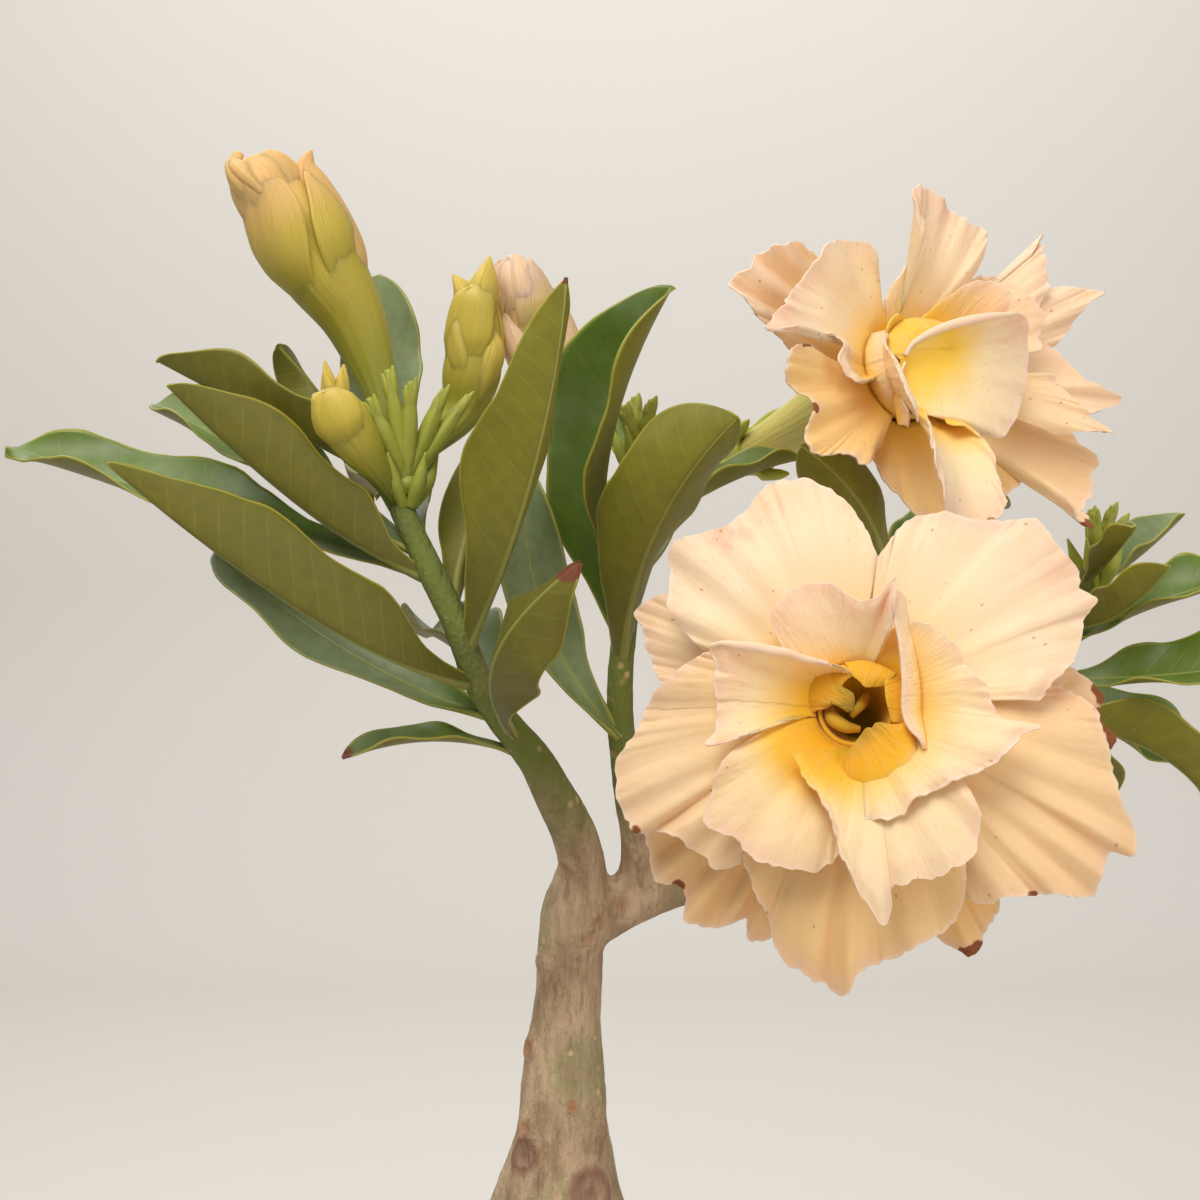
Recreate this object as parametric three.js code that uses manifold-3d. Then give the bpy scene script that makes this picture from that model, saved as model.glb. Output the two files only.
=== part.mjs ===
// Potted desert rose (adenium) with a swollen foot, three leafy branches, two double blooms and buds.
// Millimetres, +Z up. The origin is the centre of the pot's flat foot. The plant's front looks along -Y.
import * as THREE from "three";
import { mergeVertices } from "three/addons/utils/BufferGeometryUtils.js";
import Module from "manifold-3d";

const wasm = await Module();
wasm.setup();

const GAP = 0.3; // between pieces that touch

// Pot and soil
const POT_HEIGHT = 120;
const POT_TOP_RADIUS = 70;
const POT_FOOT_RADIUS = 50;
const POT_WALL = 6;
const RIM_HEIGHT = 22;
const RIM_STEP = 3.5; // how far the rim band stands out from the body
const POT_SIDES = 28; // a multiple of 4, so that the pot's flats and the soil's lie face to face
const RIM_CHAMFER = 2;
const FOOT_CHAMFER = 1.5;
const DRAIN_HOLES = 4;
const DRAIN_RADIUS = 5;
const DRAIN_RING = 26;
const DRAIN_SIDES = 8;
const SOIL_TOP = 106;
const SOIL_LUMP = 1.2; // height of the lumps in its top
const SOIL_RINGS = 4;
const SOIL_WAVES = [3.1, 2.3]; // radians from ring to ring and from side to side

// Trunk: [height, radius, middle x, middle y], from the root end up to the fork
const TRUNK = [
  [46, 13, -4, 2],
  [66, 22, -4, 2],
  [88, 31, -4, 2],
  [104, 35, -4, 2],
  [118, 37, -4, 2],
  [132, 35.5, -3.5, 1],
  [146, 30, -3, 1],
  [158, 22.5, -3, 0],
  [168, 16, -2.5, 0],
  [178, 12, -2.3, 0],
  [188, 9.3, -1.8, 0],
  [200, 7.4, -1.4, 0],
  [212, 6.1, -0.8, 0],
  [224, 5.9, -0.2, 0],
  [232, 6.2, 1, 0],
  [238, 4.5, 2, 0],
];

// Branches: [x, y, z, radius]
const BRANCHES = {
  left: [
    [1, 0, 228, 4.6],
    [2, -1, 236, 4.4],
    [0.5, -4, 244, 4.1],
    [-3, -9, 251.5, 3.7],
    [-6.5, -14, 258.5, 3.2],
    [-11.5, -19, 265, 2.8],
    [-16, -23, 272.5, 2.6],
    [-19, -26, 281, 2.5],
    [-23, -26, 289.5, 2.4],
    [-26.5, -24, 296.5, 2.3],
    [-29.5, -21, 303, 2.2],
    [-31, -18, 308.5, 1.8],
  ],
  middle: [
    [6, 2, 229, 3.6],
    [11, 2, 236, 3.2],
    [11.5, -1, 243, 2.9],
    [10, -4, 251, 2.6],
    [9, -8, 260, 2.5],
    [8.5, -11, 269, 2.4],
    [9, -12, 278, 2.3],
    [10.5, -11, 288, 2.2],
    [13, -9, 298, 2.1],
    [15, -6, 307, 2.0],
    [16, -4, 313, 1.6],
  ],
  right: [
    [0, 0, 226, 4.8],
    [9, 1, 231, 4.6],
    [18, 5, 234, 4.2],
    [30, 11, 236, 3.8],
    [46, 16, 240, 3.4],
    [64, 19, 248, 3.0],
    [79, 20, 259.5, 2.7],
    [88, 19, 272, 2.4],
    [93.5, 17, 284, 2.1],
    [96, 16, 292, 1.7],
  ],
  bloom: [
    [50, 17, 241, 2.6],
    [56, 17, 250, 2.5],
    [59, 15, 262, 2.3],
    [58, 11, 275, 2.1],
    [57, 7, 286, 1.6],
  ],
};

// Leaf scars and healed cuts on the bark: [x, y, z, radius]
const SCARS = [
  [-7, -3, 220, 2.2],
  [-8.5, -3, 205, 2.2],
  [7, -3.5, 190.5, 2.4],
  [-8, -9.5, 186, 3.2],
  [-1.5, -12, 180, 4.5],
  [6.5, -16, 164, 3.5],
  [-17, -18, 152, 3.5],
];

// Leaves: name, root inside the branch, tip, how far the middle bows, where the upper side looks,
// [full width, fold in degrees, height of the waves along the margin]
const LEAVES = [
  ["left_01", [-8, -16, 259], [-39, -23, 259], [0, 0, 3], [0, -0.3, 1], [8, 15, 0.4]],
  ["left_02", [-10, -19.5, 263], [2, -46, 292], [-8, -6, -1], [0.75, 0.5, 0.1], [18, 25, 0.9]],
  ["left_03", [-14, -20, 266], [-64, -2, 294.5], [0, 2, -4], [0.2, -0.75, 0.6], [20, 20, 0.9]],
  ["left_04", [-17, -24, 271.5], [-74, -50, 308], [4, -3, -7], [0, 0.35, 1], [24, 58, 0.8]],
  ["left_05", [-25, -25.5, 290], [-66.5, -36, 321.5], [2, 0, -5], [0.2, 0.3, 1], [20, 58, 0.8]],
  ["left_06", [-24, -24, 290], [-100, -8, 313], [-4, 0, 1], [0, -0.45, 1], [20, 15, 1.2]],
  ["left_07", [-25.5, -24.5, 293.5], [-76, 6, 321.5], [-4, 3, 2.5], [-0.1, -0.35, 1], [20, 20, 0.8]],
  ["left_08", [-30.5, -19.5, 306], [-70.5, -23, 327], [0, -3, 0], [0, 0.2, 1], [16, 45, 0.8]],
  ["left_09", [-31, -18, 305], [-52, -8, 331], [-2, 4, 3], [-0.7, 0.3, 0.6], [13, 50, 0.5]],
  ["left_10", [-31, -17.5, 305.5], [-35.5, 8, 345.5], [-1, 6, -3], [0.1, -1, 0.4], [17, 18, 0.7]],
  ["left_11", [-17.5, -25.5, 277], [-0.5, -47, 338], [3, -5, 0], [-0.6, 0.8, 0.1], [24, 38, 0.9]],
  ["left_12", [-20, -25.5, 284], [-10, -12, 314], [-2, 4, 2], [-0.2, 1, 0.2], [14, 30, 0.6]],
  ["left_13", [-26, -24.5, 295], [-38, 26, 306], [0, 2, 5], [0, -0.4, 1], [20, 25, 1.0]],
  ["left_14", [-12, -19, 266], [-28, 24, 279], [0, 2, 5], [0, -0.3, 1], [20, 25, 1.0]],
  ["middle_01", [9, -12, 275], [27.5, -40, 316], [-4, -6, 2], [-0.35, 0.9, 0.3], [24, 32, 0.9]],
  ["middle_02", [9, -12, 280], [17, -27, 339], [-7, 1, 0], [-0.72, -0.68, 0.1], [25, 45, 0.9]],
  ["middle_03", [8.5, -10.5, 262], [-8, -23, 309], [-5, 0, -2], [0.1, -1, 0.2], [14, 20, 0.7]],
  ["middle_04", [13, -9, 298], [41, 0, 311.5], [0, 0, 2], [0, -0.2, 1], [10, 30, 0.4]],
  ["middle_05", [14, -7.5, 303], [7, 10, 322], [-1, 2, 0], [0, -0.6, 1], [8, 30, 0.3]],
  ["middle_06", [9.5, -10, 284], [14, 36, 301], [2, 4, 6], [0, -0.3, 1], [21, 25, 1.0]],
  ["bloom_01", [57, 8, 285], [39, -28, 312], [4, -6, 1], [-0.5, 0.8, 0.4], [15, 25, 0.6]],
  ["bloom_02", [57.3, 8, 283], [84, 34, 304], [-2, 4, 4], [-0.2, -0.5, 1], [18, 25, 0.9]],
  ["bloom_03", [58, 12, 272], [40, 44, 284], [0, 4, 6], [0, -0.3, 1], [20, 25, 1.0]],
  ["right_01", [94.3, 16.8, 286], [117, 30, 302.5], [0, 1, -1], [-0.3, -0.4, 1], [12, 30, 0.5]],
  ["right_02", [95, 16, 288.5], [100.5, -4, 299], [0, -2, 0], [-0.5, 0.4, 1], [9, 35, 0.4]],
  ["right_03", [92, 17.3, 281], [106, -6, 292], [0, -2, -3], [-0.3, 0.5, 1], [13, 35, 0.6]],
  ["right_04", [90, 18.3, 276], [125, 12, 290], [0, -2, 2], [-0.1, -0.5, 1], [15, 20, 0.8]],
  ["right_05", [87.5, 19, 271], [124, -2, 275], [2, -3, -1], [0, -0.7, 0.8], [16, 20, 0.8]],
  ["right_06", [85, 19.5, 267], [120, 30, 254], [0, 2, 1], [0.2, -0.7, 0.7], [19, 20, 0.9]],
  ["right_07", [82, 20, 263], [118, 4, 246], [4, -6, 5], [0.3, 0.5, 0.9], [18, 32, 0.9]],
  ["right_08", [80, 20, 260.5], [102, 42, 244], [2, 4, 5], [0.2, 0, 1], [20, 25, 0.9]],
];

// Open blooms. at: middle of the throat. axis: out of the mouth. stalk: its root inside the branch.
// A whorl's lobes gain height by "rise" at first and are at the height "tip" at the radius "reach".
// Lobes: [angle, half spread in degrees, radii of the margin from the one side to the other]
const BLOOMS = {
  front: {
    at: [45, -60, 268.5],
    axis: [-0.12, -0.97, 0.2],
    stalk: [57.5, 13, 265],
    whorls: [
      {
        name: "outer", rise: 0, tip: -11, reach: 40,
        lobes: [
          [82, 34, [30, 27, 23.5, 27, 30]],
          [157, 34, [31, 36, 39.5, 37, 30]],
          [230, 33, [36, 40, 41.5, 37, 37]],
          [298, 30, [34, 36, 40, 37, 33]],
          [0, 34, [36, 40, 38.5, 36, 33]],
        ],
      },
      {
        name: "second", rise: 13, tip: -4, reach: 40,
        lobes: [
          [122, 39, [26, 37, 39, 38, 27]],
          [43, 39, [30, 38, 40, 36, 25]],
          [-27, 36, [33.5, 40, 46, 40, 33]],
          [-96, 37, [28, 36.5, 42.5, 38.5, 34]],
          [195, 35, [26, 33, 39, 39, 31]],
        ],
      },
      {
        name: "third", rise: 15, tip: 6, reach: 28,
        lobes: [
          [106, 36, [19.5, 18.5, 19.5, 19.5, 15.5]],
          [-3, 66, [18.5, 19, 27.5, 18, 18]],
          [176, 33, [11, 23, 22, 23, 15]],
          [229, 33, [20, 28, 27.5, 27, 24]],
          [-66, 32, [24, 31, 28.5, 27, 20]],
        ],
      },
      {
        name: "centre", rise: 9, tip: 8, reach: 18,
        lobes: [
          [-74, 26, [10, 16, 18.5, 17, 12]],
          [0, 32, [9, 10, 9]],
          [62, 32, [9, 11, 9]],
          [125, 32, [8.5, 10.5, 8.5]],
          [185, 30, [9, 11, 9]],
          [238, 28, [8.5, 10, 8.5]],
        ],
      },
    ],
  },
  back: {
    at: [57, -14, 325],
    axis: [0.5, -0.83, 0.24],
    stalk: [16, -4, 311],
    whorls: [
      {
        name: "outer", rise: 3, tip: 7, reach: 40,
        lobes: [
          [148, 19, [26.5, 33, 38, 38.5, 31]],
          [42, 16, [35.5, 37.5, 41, 30, 22]],
          [-2, 14, [34, 43.5, 37.5, 35, 32]],
          [-33, 16, [27, 39.5, 40, 39, 34]],
          [-98, 22, [19, 22.5, 25.5, 26.5, 24]],
        ],
      },
      {
        name: "second", rise: 14, tip: 11, reach: 36,
        lobes: [
          [144, 33, [22, 26.5, 27.5, 29.5, 34.5]],
          [74, 24, [25.5, 29.5, 29.5, 31.5, 18]],
          [18, 13, [28, 33, 38, 33.5, 29]],
          [-20, 9, [30, 36.5, 29]],
          [204, 26, [28, 32, 33, 33, 25]],
        ],
      },
      {
        name: "third", rise: 26, tip: 14, reach: 30,
        lobes: [
          [-24, 46, [17.5, 17, 16.5, 17.5, 18.5]],
          [47, 24, [16, 17.5, 15]],
          [-92, 20, [24, 31.5, 31, 28.5, 18]],
          [112, 34, [9, 12, 9.5]],
          [190, 40, [9.5, 13, 10]],
        ],
      },
      {
        name: "centre", rise: 9, tip: 8, reach: 12,
        lobes: [
          [20, 36, [8, 10.5, 8]],
          [92, 36, [8, 10, 8]],
          [164, 36, [8, 9.5, 8]],
          [236, 36, [8, 11, 8]],
          [308, 36, [8, 10, 8]],
        ],
      },
    ],
  },
};
const LOBE_SLANT = 0.09; // height gained across a lobe, so that neighbours lie over each other
const LOBE_WAVE = 1.1; // height of the waves along a lobe's margin
const LOBE_WAVES_ALONG = 1.7;
const LOBE_WAVES_ACROSS = 0.8;
const LOBE_ROW = 9; // distance between the rows of a lobe, or less
const LOBE_COLUMN = 16; // degrees between its columns, or less
const LOBE_SINK = 0.5; // how deep a lobe's foot lies in the cup's rim
const PETAL_THICKNESS = 0.7;
const CUP_MOUTH = 9.4; // outside radius of the outermost cup
const CUP_LIP = 0.3; // how far a cup's edge stands over the lobes' foot
const TUBE_LENGTH = 48;
// Outside of the corolla tube: [distance behind the throat, radius]
const TUBE = [
  [-TUBE_LENGTH, 2.6],
  [-44, 3.9],
  [-30, 5.2],
  [-18, 7.0],
  [-6, 8.7],
  [CUP_LIP, CUP_MOUTH],
];
const CUP_WALL = 0.8;
const CUP_DEPTH = 15;
const CUP_FLOOR = 0.42; // floor radius as a share of the mouth radius
const CUP_SIDES = 12;
const CUP_STEP = 2.5; // each cup stands this much further out of the mouth than the one round it

// Buds: each path runs from inside the branch to the tip: [x, y, z, radius]. petals are rolled round it:
// [share of the path at the foot, share at the tip, angle, half its width in degrees, how far its tip
// stands off].
// swirl is how many degrees they turn on their way up.
const BUDS = {
  opening_left: {
    path: [
      [-31, -18, 307, 1.6], [-32.5, -14.5, 318, 2.1], [-35, -12, 329, 4], [-39.5, -12, 338.5, 5.8],
      [-45, -14, 347, 6.8], [-49.5, -16, 355, 7.2], [-52, -17, 361, 4.5],
    ],
    petals: [
      [0.5, 1.03, 20, 38, 1.2], [0.52, 1, 110, 36, 0.8],
      [0.5, 1.02, 200, 38, 1.4], [0.53, 0.99, 285, 34, 0.8],
    ],
    swirl: 60,
  },
  green_left: {
    path: [
      [-30, -19, 304.5, 1.4], [-25.5, -12.5, 312, 1.8], [-20.5, -8, 320, 4], [-18.5, -8, 330, 5.1],
      [-17, -9, 338, 4.3], [-16, -10, 343, 1.2],
    ],
    petals: [[0.5, 1.03, 80, 55, 0.8], [0.5, 1.02, 260, 55, 1.2]],
    swirl: 40,
  },
  pink_middle: {
    path: [
      [13, -9, 299, 1.5], [6, -3, 304, 1.7], [-1, 4, 311, 2.6], [-1, 4, 321, 3.8], [-3.5, 2, 330, 5.6],
      [-7.5, 0, 339, 5.6], [-10.5, -2, 346.5, 1.8],
    ],
    petals: [[0.6, 1.01, 30, 45, 0.8], [0.6, 1, 150, 45, 0.6], [0.6, 0.99, 270, 45, 0.8]],
    swirl: 60,
  },
  small_left: {
    path: [
      [-31, -20, 304, 1.3], [-35.5, -26, 308, 1.8], [-38, -31.5, 314.5, 4.2], [-39.5, -34, 321, 3.4],
      [-40, -34.5, 325, 0.9],
    ],
    petals: [[0.45, 1.03, 90, 60, 0.6]],
    swirl: 30,
  },
};
const BUD_SIDES = 8;
const BUD_STEPS = 7;
const BUD_PETAL_ROWS = 3;
const BUD_PETAL_COLS = 2;
const BUD_PETAL_THICKNESS = 0.8;
const BUD_PETAL_FOOT = 0.75; // share of its full width at its foot
const BUD_PETAL_WIDEST = 0.5;
const BUD_PETAL_ROUNDNESS = 2;
const BUD_PETAL_LEAST = 4; // half width at its tip in degrees
const BUD_PETAL_LIFT = 0.6; // how far a rolled petal lies off the bud under it
const BUD_PETAL_SINK = 1.6; // how much lower its foot is rooted
const BUD_PETAL_ROOT = 0.3; // share of its length over which it comes up

// Clusters of small pointed buds: middle of the cluster and its tips: [x, y, z]
const CLUSTERS = {
  left: {
    at: [-28, -22.5, 306],
    tips: [[-27, -27, 323], [-31, -27, 325], [-21.5, -24, 322], [-17.5, -22, 321], [-34, -29, 320]],
  },
  middle: { at: [12.5, -7.5, 311.5], tips: [[9, -12, 320], [14, -13, 321], [11, -7, 322]] },
  right: {
    at: [98, 17.5, 292.5],
    tips: [[96, 11, 302], [100, 13, 303.5], [103, 17, 301.5], [97, 19, 303]],
  },
};
const CLUSTER_HEART = 2; // radius of the knot that the small buds of a cluster grow from
const SMALL_BUD_RADII = [1, 1.5, 0.4]; // at its foot, where it is thickest and at its tip
const SMALL_BUD_WIDEST = 0.6;

function material(color, roughness) {
  return new THREE.MeshStandardMaterial({ color, roughness, metalness: 0 });
}

const MATERIALS = {
  pot: () => material(0xb5653f, 0.85),
  soil: () => material(0x4a3a2c, 0.95),
  bark: () => material(0x9a8f78, 0.8),
  leaf: () => material(0x76804a, 0.5),
  petal: () => material(0xf1e4bd, 0.55),
  stalk: () => material(0x8f9a55, 0.6),
  bud: () => material(0xdcd190, 0.5),
};

function vector(values) {
  return new THREE.Vector3(values[0], values[1], values[2]);
}

// A closed three.js geometry as a solid that can be joined and cut.
function solidFrom(geometry) {
  const bare = new THREE.BufferGeometry();
  bare.setAttribute("position", geometry.getAttribute("position"));
  bare.setIndex(geometry.index);
  const merged = mergeVertices(bare, 1e-4);
  return new wasm.Manifold(
    new wasm.Mesh({
      numProp: 3,
      vertProperties: new Float32Array(merged.attributes.position.array),
      triVerts: new Uint32Array(merged.index.array),
    }),
  );
}

function geometryFrom(solid) {
  const mesh = solid.getMesh();
  const geometry = new THREE.BufferGeometry();
  geometry.setAttribute("position", new THREE.BufferAttribute(mesh.vertProperties, 3));
  geometry.setIndex(new THREE.BufferAttribute(mesh.triVerts, 1));
  return geometry;
}

function joined(solids) {
  return solids.reduce((all, next) => all.add(next));
}

// The largest body of a solid: cutting can leave a loose scrap beside it.
function largest(solid) {
  return solid.decompose().reduce((best, body) => (body.volume() > best.volume() ? body : best));
}

function meshOf(name, geometry, look) {
  const shape = geometry.index ? geometry.toNonIndexed() : geometry;
  shape.computeVertexNormals();
  const mesh = new THREE.Mesh(shape, look);
  mesh.name = name;
  return mesh;
}

function indexedGeometry(vertices, faces) {
  const geometry = new THREE.BufferGeometry();
  const values = vertices.flatMap((vertex) => vertex.toArray());
  geometry.setAttribute("position", new THREE.Float32BufferAttribute(values, 3));
  geometry.setIndex(faces);
  return geometry;
}

// A thin closed sheet round the surface pointAt(t, u), with t from 0 to 1 and u from -1 to 1. Rows crowd
// towards the tip, where the outline is round. Both faces are split alike.
function sheet(rows, cols, pointAt, thicknessAt) {
  const middle = [];
  const thickness = [];
  for (let i = 0; i <= rows; i += 1) {
    const t = Math.sin((i / rows) * (Math.PI / 2));
    for (let j = 0; j <= cols; j += 1) {
      const u = (2 * j) / cols - 1;
      middle.push(pointAt(t, u));
      thickness.push(thicknessAt(t, u));
    }
  }
  const index = (i, j) => i * (cols + 1) + j;
  const at = (i, j) => middle[index(THREE.MathUtils.clamp(i, 0, rows), THREE.MathUtils.clamp(j, 0, cols))];
  const upper = [];
  const lower = [];
  for (let i = 0; i <= rows; i += 1) {
    for (let j = 0; j <= cols; j += 1) {
      const along = at(i + 1, j).clone().sub(at(i - 1, j));
      const across = at(i, j + 1).clone().sub(at(i, j - 1));
      const half = across.cross(along).setLength(thickness[index(i, j)] / 2);
      upper.push(at(i, j).clone().add(half));
      lower.push(at(i, j).clone().sub(half));
    }
  }
  const below = upper.length;
  const faces = [];
  for (let i = 0; i < rows; i += 1) {
    for (let j = 0; j < cols; j += 1) {
      const [a, b, c, d] = [index(i, j), index(i, j + 1), index(i + 1, j + 1), index(i + 1, j)];
      faces.push(a, b, c, a, c, d);
      faces.push(below + a, below + c, below + b, below + a, below + d, below + c);
    }
  }
  const rim = [];
  for (let j = 0; j < cols; j += 1) {
    rim.push(index(0, j));
  }
  for (let i = 0; i < rows; i += 1) {
    rim.push(index(i, cols));
  }
  for (let j = cols; j > 0; j -= 1) {
    rim.push(index(rows, j));
  }
  for (let i = rows; i > 0; i -= 1) {
    rim.push(index(i, 0));
  }
  rim.forEach((p, k) => {
    const q = rim[(k + 1) % rim.length];
    faces.push(q, p, below + p, q, below + p, below + q);
  });
  return indexedGeometry(upper.concat(lower), faces);
}

const LIMB_SAMPLES = 60; // places along a limb where its frame is known

// Where a limb's surface is: reach(share, angle, stand) is the point at that share of the path and that
// angle in radians, the given distance off the surface.
function limbSurface(points) {
  const curve = new THREE.CatmullRomCurve3(points.map(vector), false, "centripetal");
  const frames = curve.computeFrenetFrames(LIMB_SAMPLES, false);
  const radiusAt = (share) => {
    const place = THREE.MathUtils.clamp(share, 0, 1) * (points.length - 1);
    const k = Math.min(Math.floor(place), points.length - 2);
    return THREE.MathUtils.lerp(points[k][3], points[k + 1][3], place - k);
  };
  const reach = (share, angle, stand) => {
    const i = Math.round(THREE.MathUtils.clamp(share, 0, 1) * LIMB_SAMPLES);
    const point = curve.getPoint(i / LIMB_SAMPLES);
    point.addScaledVector(frames.tangents[i], Math.max(0, share - 1) * curve.getLength());
    point.addScaledVector(frames.normals[i], Math.cos(angle) * (radiusAt(share) + stand));
    return point.addScaledVector(frames.binormals[i], Math.sin(angle) * (radiusAt(share) + stand));
  };
  return { curve, radiusAt, reach };
}

// A closed round limb through the points, whose radius runs from value to value along them. grow widens it.
function limb(points, { sides = 8, steps = points.length - 1, grow = 0 } = {}) {
  const { curve, reach } = limbSurface(points);
  const vertices = [];
  const faces = [];
  for (let i = 0; i <= steps; i += 1) {
    for (let j = 0; j < sides; j += 1) {
      vertices.push(reach(i / steps, (2 * Math.PI * j) / sides, grow));
    }
  }
  for (let i = 0; i < steps; i += 1) {
    for (let j = 0; j < sides; j += 1) {
      const k = (j + 1) % sides;
      const [a, b, c, d] = [i * sides + j, i * sides + k, (i + 1) * sides + k, (i + 1) * sides + j];
      faces.push(a, b, c, a, c, d);
    }
  }
  const first = vertices.length;
  const top = steps * sides;
  vertices.push(curve.getPoint(0), curve.getPoint(1));
  for (let j = 0; j < sides; j += 1) {
    const k = (j + 1) % sides;
    faces.push(first, k, j);
    faces.push(first + 1, top + j, top + k);
  }
  return indexedGeometry(vertices, faces);
}

// A profile of [radius, height] points turned about the Z axis. It runs upwards on the outside, and starts
// and ends on the axis.
function turned(profile, sides) {
  const points = profile.map(([radius, height]) => new THREE.Vector2(radius, height));
  return new THREE.LatheGeometry(points, sides).rotateX(Math.PI / 2);
}

function ball(centre, radius) {
  const detail = radius > 4 ? 1 : 0;
  return new THREE.IcosahedronGeometry(radius, detail).translate(...centre);
}

const MIN_HALF_WIDTH = 0.45; // of a blade at its tip

// Half the width of a blade along its length, as a share of its full half width: narrow at the foot, then
// widest at "widest", and closed round the tip.
function bladeOutline(t, foot, widest, roundness) {
  if (t < widest) {
    return foot + (1 - foot) * Math.sin((t / widest) * (Math.PI / 2)) ** 1.5;
  }
  return (1 - ((t - widest) / (1 - widest)) ** roundness) ** (1 / roundness);
}

// ---------------------------------------------------------------- pot and soil

function potInnerRadius(height) {
  const outer = POT_FOOT_RADIUS + ((POT_TOP_RADIUS - RIM_STEP - POT_FOOT_RADIUS) * height) / POT_HEIGHT;
  return outer - POT_WALL;
}

function makePot() {
  const bandFoot = POT_HEIGHT - RIM_HEIGHT;
  const bandInside = potInnerRadius(bandFoot) + POT_WALL;
  const profile = [
    [0, 0],
    [POT_FOOT_RADIUS - FOOT_CHAMFER, 0],
    [POT_FOOT_RADIUS, FOOT_CHAMFER],
    [bandInside, bandFoot],
    [bandInside + RIM_STEP - FOOT_CHAMFER, bandFoot],
    [bandInside + RIM_STEP, bandFoot + FOOT_CHAMFER],
    [POT_TOP_RADIUS, POT_HEIGHT - RIM_CHAMFER],
    [POT_TOP_RADIUS - RIM_CHAMFER, POT_HEIGHT],
    [potInnerRadius(POT_HEIGHT) + RIM_CHAMFER, POT_HEIGHT],
    [potInnerRadius(POT_HEIGHT), POT_HEIGHT - RIM_CHAMFER],
    [potInnerRadius(POT_WALL), POT_WALL],
    [0, POT_WALL],
  ];
  let pot = solidFrom(turned(profile, POT_SIDES));
  for (let i = 0; i < DRAIN_HOLES; i += 1) {
    const angle = (2 * Math.PI * i) / DRAIN_HOLES;
    const hole = new THREE.CylinderGeometry(DRAIN_RADIUS, DRAIN_RADIUS, 3 * POT_WALL, DRAIN_SIDES);
    hole.rotateX(Math.PI / 2);
    hole.translate(DRAIN_RING * Math.cos(angle), DRAIN_RING * Math.sin(angle), POT_WALL / 2);
    pot = pot.subtract(solidFrom(hole));
  }
  return meshOf("pot", geometryFrom(pot), MATERIALS.pot());
}

// The soil's top is a ring grid with low lumps, and its sides follow the inside of the pot.
function makeSoil(trunkRoom) {
  const rings = SOIL_RINGS;
  const sides = POT_SIDES;
  const vertices = [];
  const faces = [];
  for (let i = 1; i <= rings; i += 1) {
    const radius = ((potInnerRadius(SOIL_TOP) - GAP) * i) / rings;
    for (let j = 0; j < sides; j += 1) {
      const angle = (2 * Math.PI * j) / sides;
      const lump = i === rings ? -1 : Math.sin(SOIL_WAVES[0] * i + SOIL_WAVES[1] * j);
      vertices.push(
        new THREE.Vector3(radius * Math.cos(angle), radius * Math.sin(angle), SOIL_TOP + SOIL_LUMP * lump),
      );
    }
  }
  const footHeight = POT_WALL + GAP;
  for (let j = 0; j < sides; j += 1) {
    const angle = (2 * Math.PI * j) / sides;
    const radius = potInnerRadius(footHeight) - GAP;
    vertices.push(new THREE.Vector3(radius * Math.cos(angle), radius * Math.sin(angle), footHeight));
  }
  vertices.push(new THREE.Vector3(0, 0, SOIL_TOP), new THREE.Vector3(0, 0, footHeight));
  const crown = (rings + 1) * sides;
  for (let j = 0; j < sides; j += 1) {
    const k = (j + 1) % sides;
    faces.push(crown, j, k);
    faces.push(crown + 1, rings * sides + k, rings * sides + j);
    for (let i = 0; i < rings; i += 1) {
      const [a, b, c, d] = [i * sides + j, i * sides + k, (i + 1) * sides + k, (i + 1) * sides + j];
      faces.push(a, c, b, a, d, c);
    }
  }
  const soil = solidFrom(indexedGeometry(vertices, faces)).subtract(trunkRoom);
  return meshOf("soil", geometryFrom(largest(soil)), MATERIALS.soil());
}

// ---------------------------------------------------------------- trunk

const TRUNK_LIMBS = [
  { points: TRUNK.map(([height, radius, x, y]) => [x, y, height, radius]), sides: 14, steps: 18 },
  { points: BRANCHES.left, sides: 8, steps: 14 },
  { points: BRANCHES.middle, sides: 8, steps: 11 },
  { points: BRANCHES.right, sides: 8, steps: 12 },
  { points: BRANCHES.bloom, sides: 6, steps: 6 },
];

// The whole woody plant as one solid: swollen foot, neck and branches. grow is the room that others keep.
function trunkSolid(grow) {
  const limbs = TRUNK_LIMBS.map(({ points, sides, steps }) => limb(points, { sides, steps, grow }));
  const solids = limbs.map(solidFrom);
  SCARS.forEach(([x, y, z, radius]) => solids.push(solidFrom(ball([x, y, z], radius + grow))));
  return joined(solids);
}

// How far a point is outside every branch.
function makeBranchDistance() {
  const samples = [];
  TRUNK_LIMBS.slice(1).forEach(({ points }) => {
    const { curve, radiusAt } = limbSurface(points);
    for (let i = 0; i <= LIMB_SAMPLES; i += 1) {
      samples.push({ centre: curve.getPoint(i / LIMB_SAMPLES), radius: radiusAt(i / LIMB_SAMPLES) });
    }
  });
  return (point) => Math.min(...samples.map(({ centre, radius }) => centre.distanceTo(point) - radius));
}
const branchDistance = makeBranchDistance();

// ---------------------------------------------------------------- leaves

const LEAF_ROWS = 7;
const SHORT_LEAF_ROWS = 5;
const LEAF_COLS = 4;
const SHORT_LEAF = 43; // a shorter leaf has fewer rows
const LEAF_CURL = 14; // extra degrees of fold at the margin
const LEAF_WAVES = 2.5; // along each margin
const LEAF_PHASES = [0.6, 2.4]; // of the right and left margin's waves, in radians
const LEAF_FOOT = 0.14;
const LEAF_WIDEST = 0.64;
const LEAF_ROUNDNESS = 1.9;
const LEAF_MARGIN = 0.7; // thickness
const LEAF_MIDRIB = 0.5; // how much thicker the middle is
const PETIOLE = 0.15; // share of the leaf that is its petiole
const PETIOLE_SWELL = 0.5; // how much thicker the petiole's foot is
const LEAF_ROOM = GAP + 1; // from the branch to the middle of the leaf's foot
const FOOT_STEP = 0.005; // by which the foot is moved along the leaf until it clears the branch

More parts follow.
